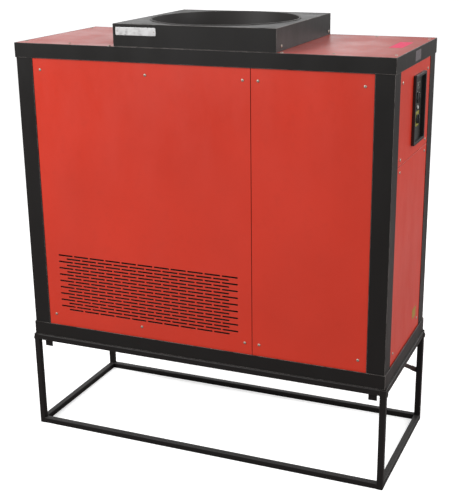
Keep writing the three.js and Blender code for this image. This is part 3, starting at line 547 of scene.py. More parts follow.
def filled_plate(outlines, thickness, edge):
    """A flat mesh from z = 0 to thickness, from outlines of (x, y) points: the rim first, then the holes."""
    curve = bpy.data.curves.new("plate", "CURVE")
    curve.dimensions = "2D"
    curve.fill_mode = "BOTH"
    curve.extrude = thickness / 2 - edge
    curve.bevel_depth = edge
    curve.bevel_resolution = 1
    curve.offset = -edge
    for outline in outlines:
        spline = curve.splines.new("POLY")
        spline.points.add(len(outline) - 1)
        spline.use_cyclic_u = True
        for point, (x, y) in zip(spline.points, outline):
            point.co = (x, y, 0, 1)
    holder = bpy.data.objects.new("plate", curve)
    scene.collection.objects.link(holder)
    mesh = baked(holder)
    bpy.data.objects.remove(holder)
    bpy.data.curves.remove(curve)
    bm = bmesh.new()
    absorb(bm, mesh)
    bmesh.ops.translate(bm, verts=bm.verts, vec=(0, 0, thickness / 2))
    bmesh.ops.remove_doubles(bm, verts=bm.verts, dist=0.002 * MM)
    return bm


def piece(name, bm, slot, body="cabinet", material=None, place=None, sharp=35, stands_for=()):
    """Turns a built mesh into a piece that rides on a body and takes its finish from a slot."""
    bmesh.ops.recalc_face_normals(bm, faces=bm.faces)
    if place is not None:
        bm.transform(place)
    mesh = mesh_from(bm, name)
    mesh.polygons.foreach_set("use_smooth", [True] * len(mesh.polygons))
    mesh.set_sharp_from_angle(angle=math.radians(sharp))
    mesh.materials.append(material or FINISHES[slot])
    obj = bpy.data.objects.new(name, mesh)
    scene.collection.objects.link(obj)
    flatten_shading(obj)
    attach(obj, body)
    if stands_for:
        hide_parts(*stands_for)
    return obj


def towards(direction, place, turn=0.0):
    """A frame whose Z points along direction, at a place, turned about that axis."""
    turned = Vector(direction).to_track_quat("Z", "Y").to_matrix().to_4x4()
    return Matrix.Translation(place) @ turned @ Matrix.Rotation(turn, 4, "Z")


def facing_front(y):
    """A frame drawn as seen from the front: its Y along +Z and its Z towards -Y."""
    return Matrix.Translation((0, y, 0)) @ Matrix.Rotation(math.pi / 2, 4, "X")


FRONT = (0, -1, 0)
REAR = (0, 1, 0)
LEFT = (-1, 0, 0)
RIGHT = (1, 0, 0)
UP = (0, 0, 1)

# ---- Screws and bolts ----

HEAD_RADIUS = 5.4 * MM
HEAD_HEIGHT = 2.9 * MM


def screw_template():
    """A pan head with a cross recess, standing on z = 0."""
    bm = bmesh.new()
    profile = [(0, -0.4 * MM), (HEAD_RADIUS, -0.4 * MM), (HEAD_RADIUS, 0.5 * MM)]
    for k in range(1, 8):
        angle = k / 8 * math.pi / 2
        rise = (HEAD_HEIGHT - 0.5 * MM) * math.sin(angle)
        profile.append((HEAD_RADIUS * math.cos(angle) ** 0.7, 0.5 * MM + rise))
    profile.append((0, HEAD_HEIGHT))
    add_turned(bm, profile, 28)
    cutter = bmesh.new()
    for turn in (0, math.pi / 2):
        place = Matrix.Rotation(turn, 4, "Z")
        rings = []
        for z, x, y in ((1.1 * MM, 1.2 * MM, 0.45 * MM), (HEAD_HEIGHT + 1 * MM, 3.4 * MM, 0.75 * MM)):
            corners = ((-x, -y, z), (x, -y, z), (x, y, z), (-x, y, z))
            rings.append([place @ Vector(corner) for corner in corners])
        add_rings(cutter, rings)
    return cut_mesh(bm, cutter)


def cut_mesh(bm, cutter):
    """Cuts one built mesh out of another with the exact boolean."""
    objects = []
    for shape in (bm, cutter):
        bmesh.ops.recalc_face_normals(shape, faces=shape.faces)
        obj = bpy.data.objects.new("cut", mesh_from(shape, "cut"))
        scene.collection.objects.link(obj)
        objects.append(obj)
    body, tool = objects
    boolean = body.modifiers.new("cut", "BOOLEAN")
    boolean.operation = "DIFFERENCE"
    boolean.solver = "EXACT"
    boolean.use_self = True
    boolean.object = tool
    result = baked(body)
    for obj in objects:
        mesh = obj.data
        bpy.data.objects.remove(obj)
        bpy.data.meshes.remove(mesh)
    return result


def hexagon_template():
    """A hexagon bolt head with a chamfered top on a washer."""
    bm = bmesh.new()
    add_turned(bm, from_mm(0, (0, -0.2), (10.5, -0.2), (10.5, 1.0), (0, 1.0)), 36)
    rings = []
    for radius, z in ((9.6 * MM, 0.9 * MM), (9.6 * MM, 3.4 * MM), (8.7 * MM, 4.0 * MM)):
        rings.append([Vector((x, y, z)) for x, y in circle_points(radius, 6)])
    add_rings(bm, rings)
    bmesh.ops.recalc_face_normals(bm, faces=bm.faces)
    return mesh_from(bm, "hexagon")


SCREW = screw_template()
HEXAGON = hexagon_template()
turns = random.Random(ROW_SEED)


def fasteners(name, template, spots, direction, scale=0.85, material=ZINC, body="cabinet"):
    """A row of equal fasteners, each turned at random as they end up when driven home."""
    bm = bmesh.new()
    for spot in spots:
        copy = template.copy()
        copy.transform(towards(direction, spot, turns.uniform(0, math.pi)) @ Matrix.Scale(scale, 4))
        absorb(bm, copy)
    return piece(name, bm, "galvanised", body=body, material=material)


# Screws in metres: places across from the cabinet's middle, and heights above the floor.
FRONT_SCREW_ROWS = (
    (1.264, (-0.537, -0.160, 0.163, 0.212, 0.536)),
    (0.427, (-0.537, -0.206, 0.163, 0.212, 0.536)),
)
SIDE_SCREW_Y = (-0.160, 0.160)
SIDE_SCREW_Z = (1.264, 1.039, 1.001, 0.425)
TOP_SCREWS = ((0.2835, -0.247), (0.435, -0.230), (0.610, -0.207), (0.610, 0.207), (0.435, 0.230))
BOLT_Z = 0.3265


def add_fasteners():
    front_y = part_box("front_panel_right")[0].y
    rear_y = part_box("rear_panel_right")[1].y
    front = [(x, front_y, z) for z, row in FRONT_SCREW_ROWS for x in row]
    fasteners("front_panel_screws", SCREW, front, FRONT)
    fasteners("rear_panel_screws", SCREW, [(x, rear_y, z) for x, y, z in front], REAR)
    for side, direction, x in (
        ("left", LEFT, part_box("side_panel_left_lower")[0].x),
        ("right", RIGHT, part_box("side_panel_right_lower")[1].x),
    ):
        spots = [(x, y, z) for z in SIDE_SCREW_Z for y in SIDE_SCREW_Y]
        fasteners(f"side_panel_screws_{side}", SCREW, spots, direction)
    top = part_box("top_panel")[1].z
    spots = [(mirror * x, y, top) for mirror in (1, -1) for x, y in TOP_SCREWS]
    fasteners("top_panel_screws", SCREW, spots, UP)
    low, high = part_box("fan_cowl")
    for side, direction, x in (("left", LEFT, low.x), ("right", RIGHT, high.x)):
        spots = [(x, low.y + 41.5 * MM, low.z + 14.7 * MM), (x, high.y - 20.5 * MM, low.z + 11.7 * MM)]
        fasteners(f"fan_cowl_screws_{side}", SCREW, spots, direction)
    low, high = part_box("stand_leg_front_right")
    leg_y = (low.y + high.y) / 2
    black = FINISHES["tube_black"]
    for side, direction, x in (("left", LEFT, -high.x), ("right", RIGHT, high.x)):
        spots = [(x, y, BOLT_Z) for y in (leg_y, -leg_y)]
        fasteners(f"stand_bolts_{side}", HEXAGON, spots, direction, scale=0.88, material=black)


# ---- Stand welds ----

WELD_HALF = 9.3 * MM  # half the width of the square that a bead follows
WELD_RADIUS = 1.7 * MM


def weld_ring(bm, middle, axis, ripples):
    """A rippled bead round the end of a square tube."""
    outline = rounded_rectangle(-WELD_HALF, WELD_HALF, -WELD_HALF, WELD_HALF, 2.5 * MM, 4)
    points = []
    for (x0, y0), (x1, y1) in zip(outline, outline[1:] + outline[:1]):
        steps = max(1, round(math.hypot(x1 - x0, y1 - y0) / (1.1 * MM)))
        points += [(x0 + (x1 - x0) * k / steps, y0 + (y1 - y0) * k / steps) for k in range(steps)]
    place = towards(axis, middle)
    path = [place @ Vector((x, y, 0)) for x, y in points]
    sizes = [1 + 0.16 * math.sin(i * 2.2) + ripples.uniform(-0.1, 0.1) for i in range(len(path))]
    add_tube(bm, path + path[:1], WELD_RADIUS, 8, lambda i: sizes[i])


def add_welds():
    ripples = random.Random(ROW_SEED + 1)
    bm = bmesh.new()
    for level in ("bottom", "top"):
        for side in ("front", "rear"):
            low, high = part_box(f"stand_{level}_rail_{side}")
            middle_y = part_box(f"stand_leg_{side}_left")[0].y + 10 * MM
            for x in (low.x, high.x):
                weld_ring(bm, (x, middle_y, high.z - 10 * MM), RIGHT, ripples)
        for side in ("left", "right"):
            low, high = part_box(f"stand_{level}_rail_{side}")
            for y in (low.y, high.y):
                weld_ring(bm, ((low.x + high.x) / 2, y, high.z - 10 * MM), REAR, ripples)
    for vertex in bm.verts:  # the beads under the stand are ground level with its feet
        vertex.co.z = max(vertex.co.z, 0.2 * MM)
    piece("stand_welds", bm, "tube_black", material=WELD, sharp=80)


# ---- Slotted front panel ----

SLOT_LENGTH = 55 * MM
SLOT_HEIGHT = 5.4 * MM
SLOT_PITCH_X = 60 * MM
SLOT_PITCH_Z = 11.37 * MM
SLOT_TOP_Z = 0.643
SLOT_ROWS = 18
SLOT_FIRST_X = (-0.514, -0.484)
SLOT_COUNTS = (11, 10)
PANEL_SHEET = 1.5 * MM


def slot_outline(x, z):
    radius = SLOT_HEIGHT / 2
    right = circle_points(radius, 7, (x + SLOT_LENGTH - radius, z), -math.pi / 2, math.pi, whole=False)
    left = circle_points(radius, 7, (x + radius, z), math.pi / 2, math.pi, whole=False)
    return right + left


def add_slotted_panel():
    low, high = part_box("front_panel_left")
    outlines = [rounded_rectangle(low.x, high.x, low.z, high.z, 1.5 * MM, 4)]
    for row in range(SLOT_ROWS):
        for i in range(SLOT_COUNTS[row % 2]):
            x = SLOT_FIRST_X[row % 2] + i * SLOT_PITCH_X
            outlines.append(slot_outline(x, SLOT_TOP_Z - row * SLOT_PITCH_Z))
    bm = filled_plate(outlines, PANEL_SHEET, 0.35 * MM)
    depth = high.y - low.y
    inset = 0.4 * MM
    x0, x1, z0, z1 = low.x + inset, high.x - inset, low.z + inset, high.z - inset
    inner = PANEL_SHEET + 0.05 * MM
    for bar in (
        (x0, x0 + PANEL_SHEET, z0, z1), (x1 - PANEL_SHEET, x1, z0, z1),
        (x0 + inner, x1 - inner, z0, z0 + PANEL_SHEET), (x0 + inner, x1 - inner, z1 - PANEL_SHEET, z1),
    ):
        add_box(bm, (bar[0], bar[2], -depth + PANEL_SHEET), (bar[1], bar[3], 0))
    place = facing_front(low.y + PANEL_SHEET)
    piece("front_panel_left_slotted", bm, "powder_red", place=place, stands_for=["front_panel_left"])


# ---- Fan ----

FAN_MIDDLE = Vector((0.004, -0.003, 0))
THROAT = 233 * MM
GUARD_RINGS = 13
GUARD_FIRST_RING = 34 * MM
GUARD_LAST_RING = 229 * MM
GUARD_SPOKES = 8
WIRE = 1.6 * MM
SPOKE = 2.2 * MM


def add_collar():
    low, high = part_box("fan_collar")
    sheet = 2 * MM
    reach = THROAT + 7 * MM
    top = high.z
    lip = top - 1.6 * MM
    bm = bmesh.new()
    profile = [(THROAT, low.z), (THROAT + sheet, low.z), (THROAT + sheet, lip), (reach - 0.5 * MM, lip)]
    profile += [(reach, lip + 0.4 * MM), (reach, top - 0.5 * MM), (reach - 0.5 * MM, top)]
    profile += [(THROAT + 2.2 * MM, top), (THROAT + 0.9 * MM, top - 0.5 * MM)]
    profile += [(THROAT, top - 2 * MM), (THROAT, low.z)]
    add_turned(bm, profile, 160)
    place = Matrix.Translation(FAN_MIDDLE)
    piece(
        "fan_collar_rolled", bm, "powder_black",
        material=COLLAR_BLACK, place=place, stands_for=["fan_collar"],
    )


def add_guard():
    low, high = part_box("fan_guard")
    z = (low.z + high.z) / 2
    bm = bmesh.new()
    for i in range(GUARD_RINGS):
        radius = GUARD_FIRST_RING + (GUARD_LAST_RING - GUARD_FIRST_RING) * i / (GUARD_RINGS - 1)
        count = 48 + 6 * i
        ring = [Vector((x, y, z)) for x, y in circle_points(radius, count)]
        add_tube(bm, ring + ring[:1], WIRE, 8)
    below = z - WIRE - SPOKE * 0.8
    for i in range(GUARD_SPOKES):
        angle = 2 * math.pi * (i + 0.5) / GUARD_SPOKES
        out = Vector((math.cos(angle), math.sin(angle), 0))
        ends = [out * (GUARD_FIRST_RING - 8 * MM), out * GUARD_LAST_RING]
        add_tube(bm, [end + Vector((0, 0, below)) for end in ends], SPOKE, 10)
    cap = from_mm(below, (0, -1), (34, -1), (37, 1), (37, 2), (35, 2)) + from_mm(z, (29, 2), (0, 3))
    add_turned(bm, cap, 48)
    for i in range(4):
        turn = math.pi / 4 + i * math.pi / 2
        tab = bmesh.new()
        foot_low = (GUARD_LAST_RING - 6 * MM, -7 * MM, z - 3.4 * MM)
        add_box(tab, foot_low, (THROAT - 0.4 * MM, 7 * MM, z - 1.6 * MM), 0.4 * MM)
        ear_low = (THROAT - 2.3 * MM, -6.9 * MM, z - 3.3 * MM)
        add_box(tab, ear_low, (THROAT - 0.5 * MM, 6.9 * MM, z + 14 * MM), 0.4 * MM)
        tab.transform(Matrix.Rotation(turn, 4, "Z"))
        absorb(bm, mesh_from(tab, "tab"))
    place = Matrix.Translation(FAN_MIDDLE)
    piece("fan_guard_wire", bm, "guard_black", place=place, stands_for=["fan_guard"])


BLADES = 5
BLADE_ROOT = 50 * MM
BLADE_TIP = 224 * MM
BLADE_STEPS = 14
BLADE_POINTS = 20


def blade_section(share, turn):
    """One closed section of a fan blade, wrapped round the shaft at its radius."""
    radius = BLADE_ROOT + (BLADE_TIP - BLADE_ROOT) * share
    chord = (58 + 36 * share) * MM
    pitch = math.radians(38 - 15 * share)
    thickness = (4.6 - 2.6 * share) * MM
    sweep = 0.34 * share ** 1.6
    camber = 4.5 * MM
    ring = []
    for k in range(BLADE_POINTS):
        angle = 2 * math.pi * k / BLADE_POINTS
        along = 0.5 * math.cos(angle)
        bulge = camber * (1 - 4 * along * along)
        off = 0.5 * thickness * math.sin(angle) * (1.15 + 0.5 * along) + bulge
        across = along * chord * math.cos(pitch) - off * math.sin(pitch)
        height = along * chord * math.sin(pitch) + off * math.cos(pitch) - 0.4 * camber
        theta = across / radius + sweep + turn
        ring.append(Vector((radius * math.cos(theta), radius * math.sin(theta), height)))
    return ring


def add_impeller():
    low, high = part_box("fan_impeller")
    hub_top = high.z
    hub_bottom = hub_top - 40 * MM
    middle = (hub_top + hub_bottom) / 2
    bm = bmesh.new()
    for i in range(BLADES):
        turn = 2 * math.pi * i / BLADES
        sections = [blade_section(k / BLADE_STEPS, turn) for k in range(BLADE_STEPS + 1)]
        add_rings(bm, [[point + Vector((0, 0, middle)) for point in ring] for ring in sections])
    hub = from_mm(hub_bottom, (0, 0), (51, 0), (55, 2))
    hub += from_mm(hub_top, (55, -12), (54, -8), (50, -4), (41, -1.2), (31, -0.6), (16, -0.6), (15, -3))
    hub += from_mm(hub_top, (8.4, -3), (8, -1.2), (7, -0.2), (0, -0.2))
    add_turned(bm, hub, 72)
    shaft = from_mm(low.z, (0, 0), (7, 0), (8, 1)) + from_mm(hub_bottom, (8, 1), (0, 1))
    add_turned(bm, shaft, 32)
    place = Matrix.Translation(FAN_MIDDLE)
    piece("fan_impeller_cast", bm, "aluminium", body="impeller", place=place, stands_for=["fan_impeller"])


def add_motor():
    low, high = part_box("fan_motor")
    fins, core, reach = 40, 64 * MM, 71.5 * MM
    outline = []
    for i in range(fins):
        for share, radius in ((0.0, core), (0.22, core), (0.34, reach), (0.66, reach), (0.78, core)):
            angle = 2 * math.pi * (i + share) / fins
            outline.append((radius * math.cos(angle), radius * math.sin(angle)))
    bm = bmesh.new()
    add_prism(bm, outline, low.z + 20 * MM, high.z - 18 * MM)
    lower_bell = from_mm(low.z, (0, 0), (53, 0), (64, 4), (69, 12), (69, 21), (0, 21))
    upper_bell = from_mm(high.z, (8.4, -19), (69, -19), (69, -9), (63, 0), (8.4, 0), (8.4, -19))
    add_turned(bm, lower_bell, 64)
    add_turned(bm, upper_bell, 64)
    add_box(bm, (62 * MM, -28 * MM, low.z + 30 * MM), (100 * MM, 28 * MM, high.z - 25 * MM), 3 * MM)
    piece("fan_motor_finned", bm, "cast_grey", place=Matrix.Translation(FAN_MIDDLE), stands_for=["fan_motor"])


# ---- Filter and coils ----

PLEAT_PITCH = 11 * MM
PLEAT_SHEET = 0.8 * MM
FILTER_RAIL = 14 * MM
FIN_PITCH = 5 * MM
FIN_SHEET = 0.35 * MM
BEND_RADIUS = 14 * MM
COIL_TUBE = 4.8 * MM
COIL_ROWS = 4


def add_filter():
    low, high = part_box("air_filter")
    x0, x1 = low.x + FILTER_RAIL, high.x - FILTER_RAIL
    y0, y1 = low.y + 2 * MM, high.y - 2 * MM
    count = round((x1 - x0) / PLEAT_PITCH)
    step = (x1 - x0) / count
    near, far = [], []
    for i in range(2 * count + 1):
        y = y0 if i % 2 else y1 - 1.2 * MM
        near.append((x0 + i * step / 2, y))
        far.append((x0 + i * step / 2, y + PLEAT_SHEET * 1.5))
    bm = bmesh.new()
    add_prism(bm, near + far[::-1], low.z + FILTER_RAIL * 0.6, high.z - FILTER_RAIL * 0.6)
    piece("air_filter_pleats", bm, "filter_media", stands_for=["air_filter"])
    rim = rounded_rectangle(low.x, high.x, low.z, high.z, 1 * MM, 3)
    gap = rounded_rectangle(x0, x1, low.z + FILTER_RAIL, high.z - FILTER_RAIL, 2 * MM, 3)
    bm = filled_plate([rim, gap], high.y - low.y, 0.4 * MM)
    piece("air_filter_frame", bm, "galvanised", place=facing_front(high.y))


def add_coil(node):
    """Thin fins between two end plates, on tubes whose return bends stand out at the left."""
    low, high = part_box(node)
    left = low.x + BEND_RADIUS + 5 * MM
    bm = bmesh.new()
    for x in (left, high.x - 2 * MM):
        add_box(bm, (x, low.y, low.z), (x + 2 * MM, high.y, high.z), 0.4 * MM)
    count = int((high.x - left) / FIN_PITCH)
    for i in range(1, count):
        x = left + i * FIN_PITCH
        fin_high = (x + FIN_SHEET, high.y - 3 * MM, high.z - 3 * MM)
        add_box(bm, (x, low.y + 3 * MM, low.z + 3 * MM), fin_high)
    piece(f"{node}_fins", bm, "aluminium", stands_for=[node])
    pipes = bmesh.new()
    pitch = (high.z - low.z) / COIL_ROWS
    y = (low.y + high.y) / 2
    for row in range(COIL_ROWS):
        z = low.z + (row + 0.5) * pitch
        bottom, top = z - BEND_RADIUS, z + BEND_RADIUS
        near, far = left - BEND_RADIUS * 0.3, high.x - 1 * MM
        turn_x = near - BEND_RADIUS
        hairpin = [(far, y, bottom), (turn_x, y, bottom), (turn_x, y, top), (far, y, top)]
        add_tube(pipes, rounded_route(hairpin, BEND_RADIUS * 0.98, 10), COIL_TUBE, 12)
    piece(f"{node}_tubes", pipes, "copper")


# ---- Compressor circuit ----

CONDENSER_PIPE_X = 0.215
LIQUID_PIPE_Y = -0.105
TERMINAL_BOX_Z = (0.470, 0.560)
VESSELS_MIDDLE = (0.540, 0.120, 0)


def add_compressor():
    low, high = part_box("compressor")
    half = 118 * MM
    x, y = low.x + half, low.y + half
    radius, bottom, shoulder, top = 100 * MM, low.z + 11 * MM, high.z - 50 * MM, high.z
    profile = [(0, bottom)]
    for k in range(9):
        angle = k * math.pi / 16
        profile.append((radius - 25 * MM * (1 - math.sin(angle)), bottom + 25 * MM * (1 - math.cos(angle))))
    seam = (bottom + shoulder) / 2 + 60 * MM
    profile += from_mm(seam, (100, -4), (102.5, -3), (102.5, 3), (100, 4))
    profile += dome(radius, shoulder, top - shoulder)
    profile.append((0, top))
    bm = bmesh.new()
    place = Matrix.Translation((x, y, 0))
    add_turned(bm, profile, 72, place)
    plate = bottom - 5 * MM
    outline = rounded_rectangle(x - half, x + half, y - half, y + half, 22 * MM, 8)
    add_prism(bm, outline, plate, bottom + 1 * MM)
    box_low = (x + radius - 12 * MM, y - 30 * MM, TERMINAL_BOX_Z[0])
    add_box(bm, box_low, (high.x, y + 30 * MM, TERMINAL_BOX_Z[1]), 4 * MM)
    piece("compressor_shell", bm, "steel_black", stands_for=["compressor"])
    feet = bmesh.new()
    inset = half - 18 * MM
    below_plate = from_mm(low.z, (0, 0), (15, 0), (15, 2), (12, 3.2))
    below_plate += from_mm(plate, (15, -1), (15, 0), (0, 0))
    above_plate = from_mm(bottom, (0, 1), (15, 1), (15, 3), (11, 6), (0, 6))
    for side_x in (-1, 1):
        for side_y in (-1, 1):
            spot = Matrix.Translation((x + side_x * inset, y + side_y * inset, 0))
            add_turned(feet, below_plate, 32, spot)
            add_turned(feet, above_plate, 32, spot)
    piece("compressor_grommets", feet, "plastic_black")


def add_vessels():
    low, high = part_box("liquid_receiver")
    middle = Matrix.Translation(VESSELS_MIDDLE)
    radius = 45 * MM
    profile = from_mm(low.z, (0, 0), (33, 0), (42, 4), (45, 12))
    rise = 26 * MM
    profile += dome(radius, high.z - rise, rise)
    profile.append((0, high.z))
    bm = bmesh.new()
    add_turned(bm, profile, 48, middle)
    piece("liquid_receiver_shell", bm, "steel_black", stands_for=["liquid_receiver"])
    low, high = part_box("filter_drier")
    profile = from_mm(low.z, (0, 0), (5, 0), (5, 20), (10, 22), (22, 34), (24, 38))
    profile += from_mm(high.z, (24, -38), (22, -34), (10, -22), (5, -20), (5, 0), (0, 0))
    bm = bmesh.new()
    add_turned(bm, profile, 40, middle)
    piece("filter_drier_shell", bm, "copper", stands_for=["filter_drier"])


def add_pipe(node, corners, radius, bend):
    bm = bmesh.new()
    add_tube(bm, rounded_route(corners, bend), radius, 20)
    for end, inner in ((corners[0], corners[1]), (corners[-1], corners[-2])):
        along = (Vector(inner) - Vector(end)).normalized()
        cuff = [Vector(end) + along * distance for distance in (1 * MM, 3 * MM, 14 * MM, 16 * MM)]
        swell = (1.02, 1.14, 1.14, 1.02)
        add_tube(bm, cuff, radius, 20, lambda i: swell[i])
    piece(f"{node}_bent", bm, "copper", stands_for=[node])


def add_pipes():
    low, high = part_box("suction_pipe")
    r = 8 * MM
    x, y, z = high.x - r, low.y + r, high.z - r
    corners = [(low.x, y, z), (x, y, z), (x, y, low.z + r), (x, high.y, low.z + r)]
    add_pipe("suction_pipe", corners, r, 18 * MM)
    low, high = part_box("discharge_pipe")
    r = 6 * MM
    x, y, z = high.x - r, (low.y + high.y) / 2, high.z - r
    add_pipe("discharge_pipe", [(x, y, low.z), (x, y, z), (low.x, y, z)], r, 16 * MM)
    low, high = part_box("condenser_pipe")
    r = 5 * MM
    z = (low.z + high.z) / 2
    x, y0, y1 = CONDENSER_PIPE_X, low.y + r, high.y - r
    corners = [(low.x, y0, z), (x, y0, z), (x, y1, z), (high.x, y1, z)]
    add_pipe("condenser_pipe", corners, r, 14 * MM)
    low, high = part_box("liquid_pipe")
    drier_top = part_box("filter_drier")[1].z
    x0, x1, y1, z0, z1 = low.x + r, high.x - r, high.y - r, low.z + r, high.z - r
    corners = [(x1, y1, drier_top), (x1, y1, z1), (x0, y1, z1)]
    corners += [(x0, LIQUID_PIPE_Y, z1), (x0, LIQUID_PIPE_Y, z0), (x0, low.y, z0)]
    add_pipe("liquid_pipe", corners, r, 18 * MM)


def add_valve():
    low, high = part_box("expansion_valve")
    radius = 14 * MM
    y, z = low.y + radius, low.z + radius * 0.87
    right = high.x
    bm = bmesh.new()
    along = Matrix.Translation((0, y, z)) @ Matrix.Rotation(math.pi / 2, 4, "Y")
    left = right - 36 * MM
    hexagon = circle_points(radius, 6)
    add_prism(bm, hexagon, left + 9 * MM, right - 9 * MM, along)
    for a, b in ((left, left + 9.2 * MM), (right - 9.2 * MM, right)):
        nut = from_mm(a, (0, 0), (10, 0), (11.5, 2)) + from_mm(b, (11.5, -2), (10, 0), (0, 0))
        add_turned(bm, nut, 32, along)
    add_tube(bm, [Vector((low.x, y, z)), Vector((left + 2 * MM, y, z))], 5 * MM, 16)
    x = (left + right) / 2
    head = Matrix.Translation((x, y, 0))
    profile = from_mm(z, (0, 6), (8, 6), (8, 20), (17, 22), (17, 25)) + from_mm(high.z, (9, 0), (0, 0))
    add_turned(bm, profile, 40, head)
    piece("expansion_valve_body", bm, "copper", stands_for=["expansion_valve"])


# ---- Control window ----

BEZEL_BAR = 9 * MM
BEZEL_NECK = 4.7 * MM  # how far the part that goes through the panel is set in


def facing_right(x, y=0.0, z=0.0):
    """A frame drawn as seen from the right: its X along +Y, its Y along +Z and its Z towards +X."""
    axes = Matrix(((0, 0, 1, 0), (1, 0, 0, 0), (0, 1, 0, 0), (0, 0, 0, 1)))
    return Matrix.Translation((x, y, z)) @ axes


def joint_place(name):
    return next(entry for entry in frame["joints"] if entry["name"] == name)["pos_m"]


def window_outline(low, high, inset, radius, steps):
    """A rounded rectangle inside a node's box, seen from the right."""
    return rounded_rectangle(low.y + inset, high.y - inset, low.z + inset, high.z - inset, radius, steps)


def add_bezel():
    low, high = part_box("window_bezel")
    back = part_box("side_panel_right_upper")[1].x + 0.3 * MM
    rim = window_outline(low, high, 0, 7 * MM, 8)
    hole = window_outline(low, high, BEZEL_BAR, 4 * MM, 6)
    bm = filled_plate([rim, hole], high.x - back, 1.2 * MM)
    rim = window_outline(low, high, BEZEL_NECK, 4 * MM, 6)
    hole = window_outline(low, high, BEZEL_BAR - 0.1 * MM, 4 * MM, 6)
    depth = back - low.x
    tail = filled_plate([rim, hole], depth + 1.4 * MM, 0.2 * MM)
    bmesh.ops.translate(tail, verts=tail.verts, vec=(0, 0, -depth))
    absorb(bm, mesh_from(tail, "neck"))
    piece("window_bezel_moulded", bm, "plastic_black", place=facing_right(back), stands_for=["window_bezel"])


def knob(name, body, radius, base, grip, flutes=0):
    """A turned skirt with a tapered grip bar and a white pointer line, on its spindle."""
    node = f"{body}_knob"
    low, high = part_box(node)
    middle = joint_place(f"{body}_turn")
    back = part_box("control_fascia")[1].x + 0.3 * MM
    back += 1.8 * MM if node == "isolator_knob" else 0.0
    bm = bmesh.new()
    height = high.x - back
    if flutes:
        outline = []
        for i in range(flutes * 6):
            angle = 2 * math.pi * i / (flutes * 6)
            reach = radius - 0.7 * MM * (0.5 + 0.5 * math.cos(flutes * angle))
            outline.append((reach * math.cos(angle), reach * math.sin(angle)))
        rings = [[Vector((x * s, y * s, z)) for x, y in outline]
                 for s, z in ((1.0, 0.0), (1.0, base - 0.8 * MM), (0.95, base), (0.3, base))]
        add_rings(bm, rings)
    else:
        skirt = [(0, 0), (radius, 0), (radius, base - 0.8 * MM), (radius - 0.8 * MM, base), (0, base)]
        add_turned(bm, skirt, 48)
    length = radius - 1.2 * MM
    rings = []
    tapers = ((base - 0.5 * MM, 1, 1), (height - 1.0 * MM, 0.8, 0.97), (height, 0.6, 0.92))
    for z, narrowing, shortening in tapers:
        wide, long = grip * narrowing, length * shortening
        outline = rounded_rectangle(-wide / 2, wide / 2, -long, long, wide * 0.3, 4)
        rings.append([Vector((x, y, z)) for x, y in outline])
    add_rings(bm, rings)
    spindle = from_mm(low.x - back, (0, 0), (3.6, 0), (4, 0.5)) + from_mm(0, (4, 0.2), (0, 0.2))
    add_turned(bm, spindle, 24)
    place = facing_right(back, middle[1], middle[2])
    piece(name, bm, "plastic_black", body=body, place=place, stands_for=[node])
    line = bmesh.new()
    line_low = (-0.5 * MM, length * 0.2, height - 0.2 * MM)
    add_box(line, line_low, (0.5 * MM, length * 0.85, height + 0.1 * MM), 0.05 * MM)
    piece(f"{name}_pointer", line, "plastic_white", body=body, place=place)


def dial_marks(name, middle, radius, sweep, count, x, centre=math.pi / 2):
    """Raised marks round a knob, longer at the two ends. The middle one is at the angle centre."""
    bm = bmesh.new()
    for i in range(count):
        angle = centre + sweep / 2 - sweep * i / (count - 1)
        length = 3.2 * MM if i in (0, count - 1) else 2 * MM
        mark = bmesh.new()
        add_box(mark, (radius, -0.35 * MM, 0), (radius + length, 0.35 * MM, 0.15 * MM), 0.04 * MM)
        mark.transform(Matrix.Rotation(angle, 4, "Z"))
        absorb(bm, mesh_from(mark, "mark"))
    piece(name, bm, "plastic_white", place=facing_right(x, middle[1], middle[2]))


def add_controls():
    add_bezel()
    knob("isolator_knob_moulded", "isolator", 15 * MM, 3 * MM, 8 * MM)
    knob("humidistat_knob_fluted", "humidistat", 16.5 * MM, 5.5 * MM, 4 * MM, flutes=18)
    plate_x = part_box("isolator_plate")[1].x
    face_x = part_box("control_fascia")[1].x
    dial_marks("isolator_marks", joint_place("isolator_turn"), 17 * MM, math.pi / 2, 3, plate_x, math.pi / 4)
    dial_marks("humidistat_marks", joint_place("humidistat_turn"), 18.5 * MM, math.radians(270), 11, face_x)
    low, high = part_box("reset_button")
    middle = (low + high) / 2
    button = from_mm(0, (0, 0), (5, 0))
    button += from_mm(high.x - low.x, (5, -0.8), (4.2, 0), (2.6, -0.35), (0, -0.5))
    bm = bmesh.new()
    add_turned(bm, button, 36)
    place = facing_right(low.x, middle.y, middle.z)
    piece("reset_button_moulded", bm, "plastic_white", body="reset", place=place, stands_for=["reset_button"])
    bm = bmesh.new()
    add_turned(bm, from_mm(0, (5.5, 0), (7.2, 0), (7.2, 0.6), (6.7, 1.1), (5.5, 1.1), (5.5, 0)), 36)
    piece("reset_collar", bm, "plastic_grey", place=facing_right(face_x, middle.y, middle.z))
    add_meter()


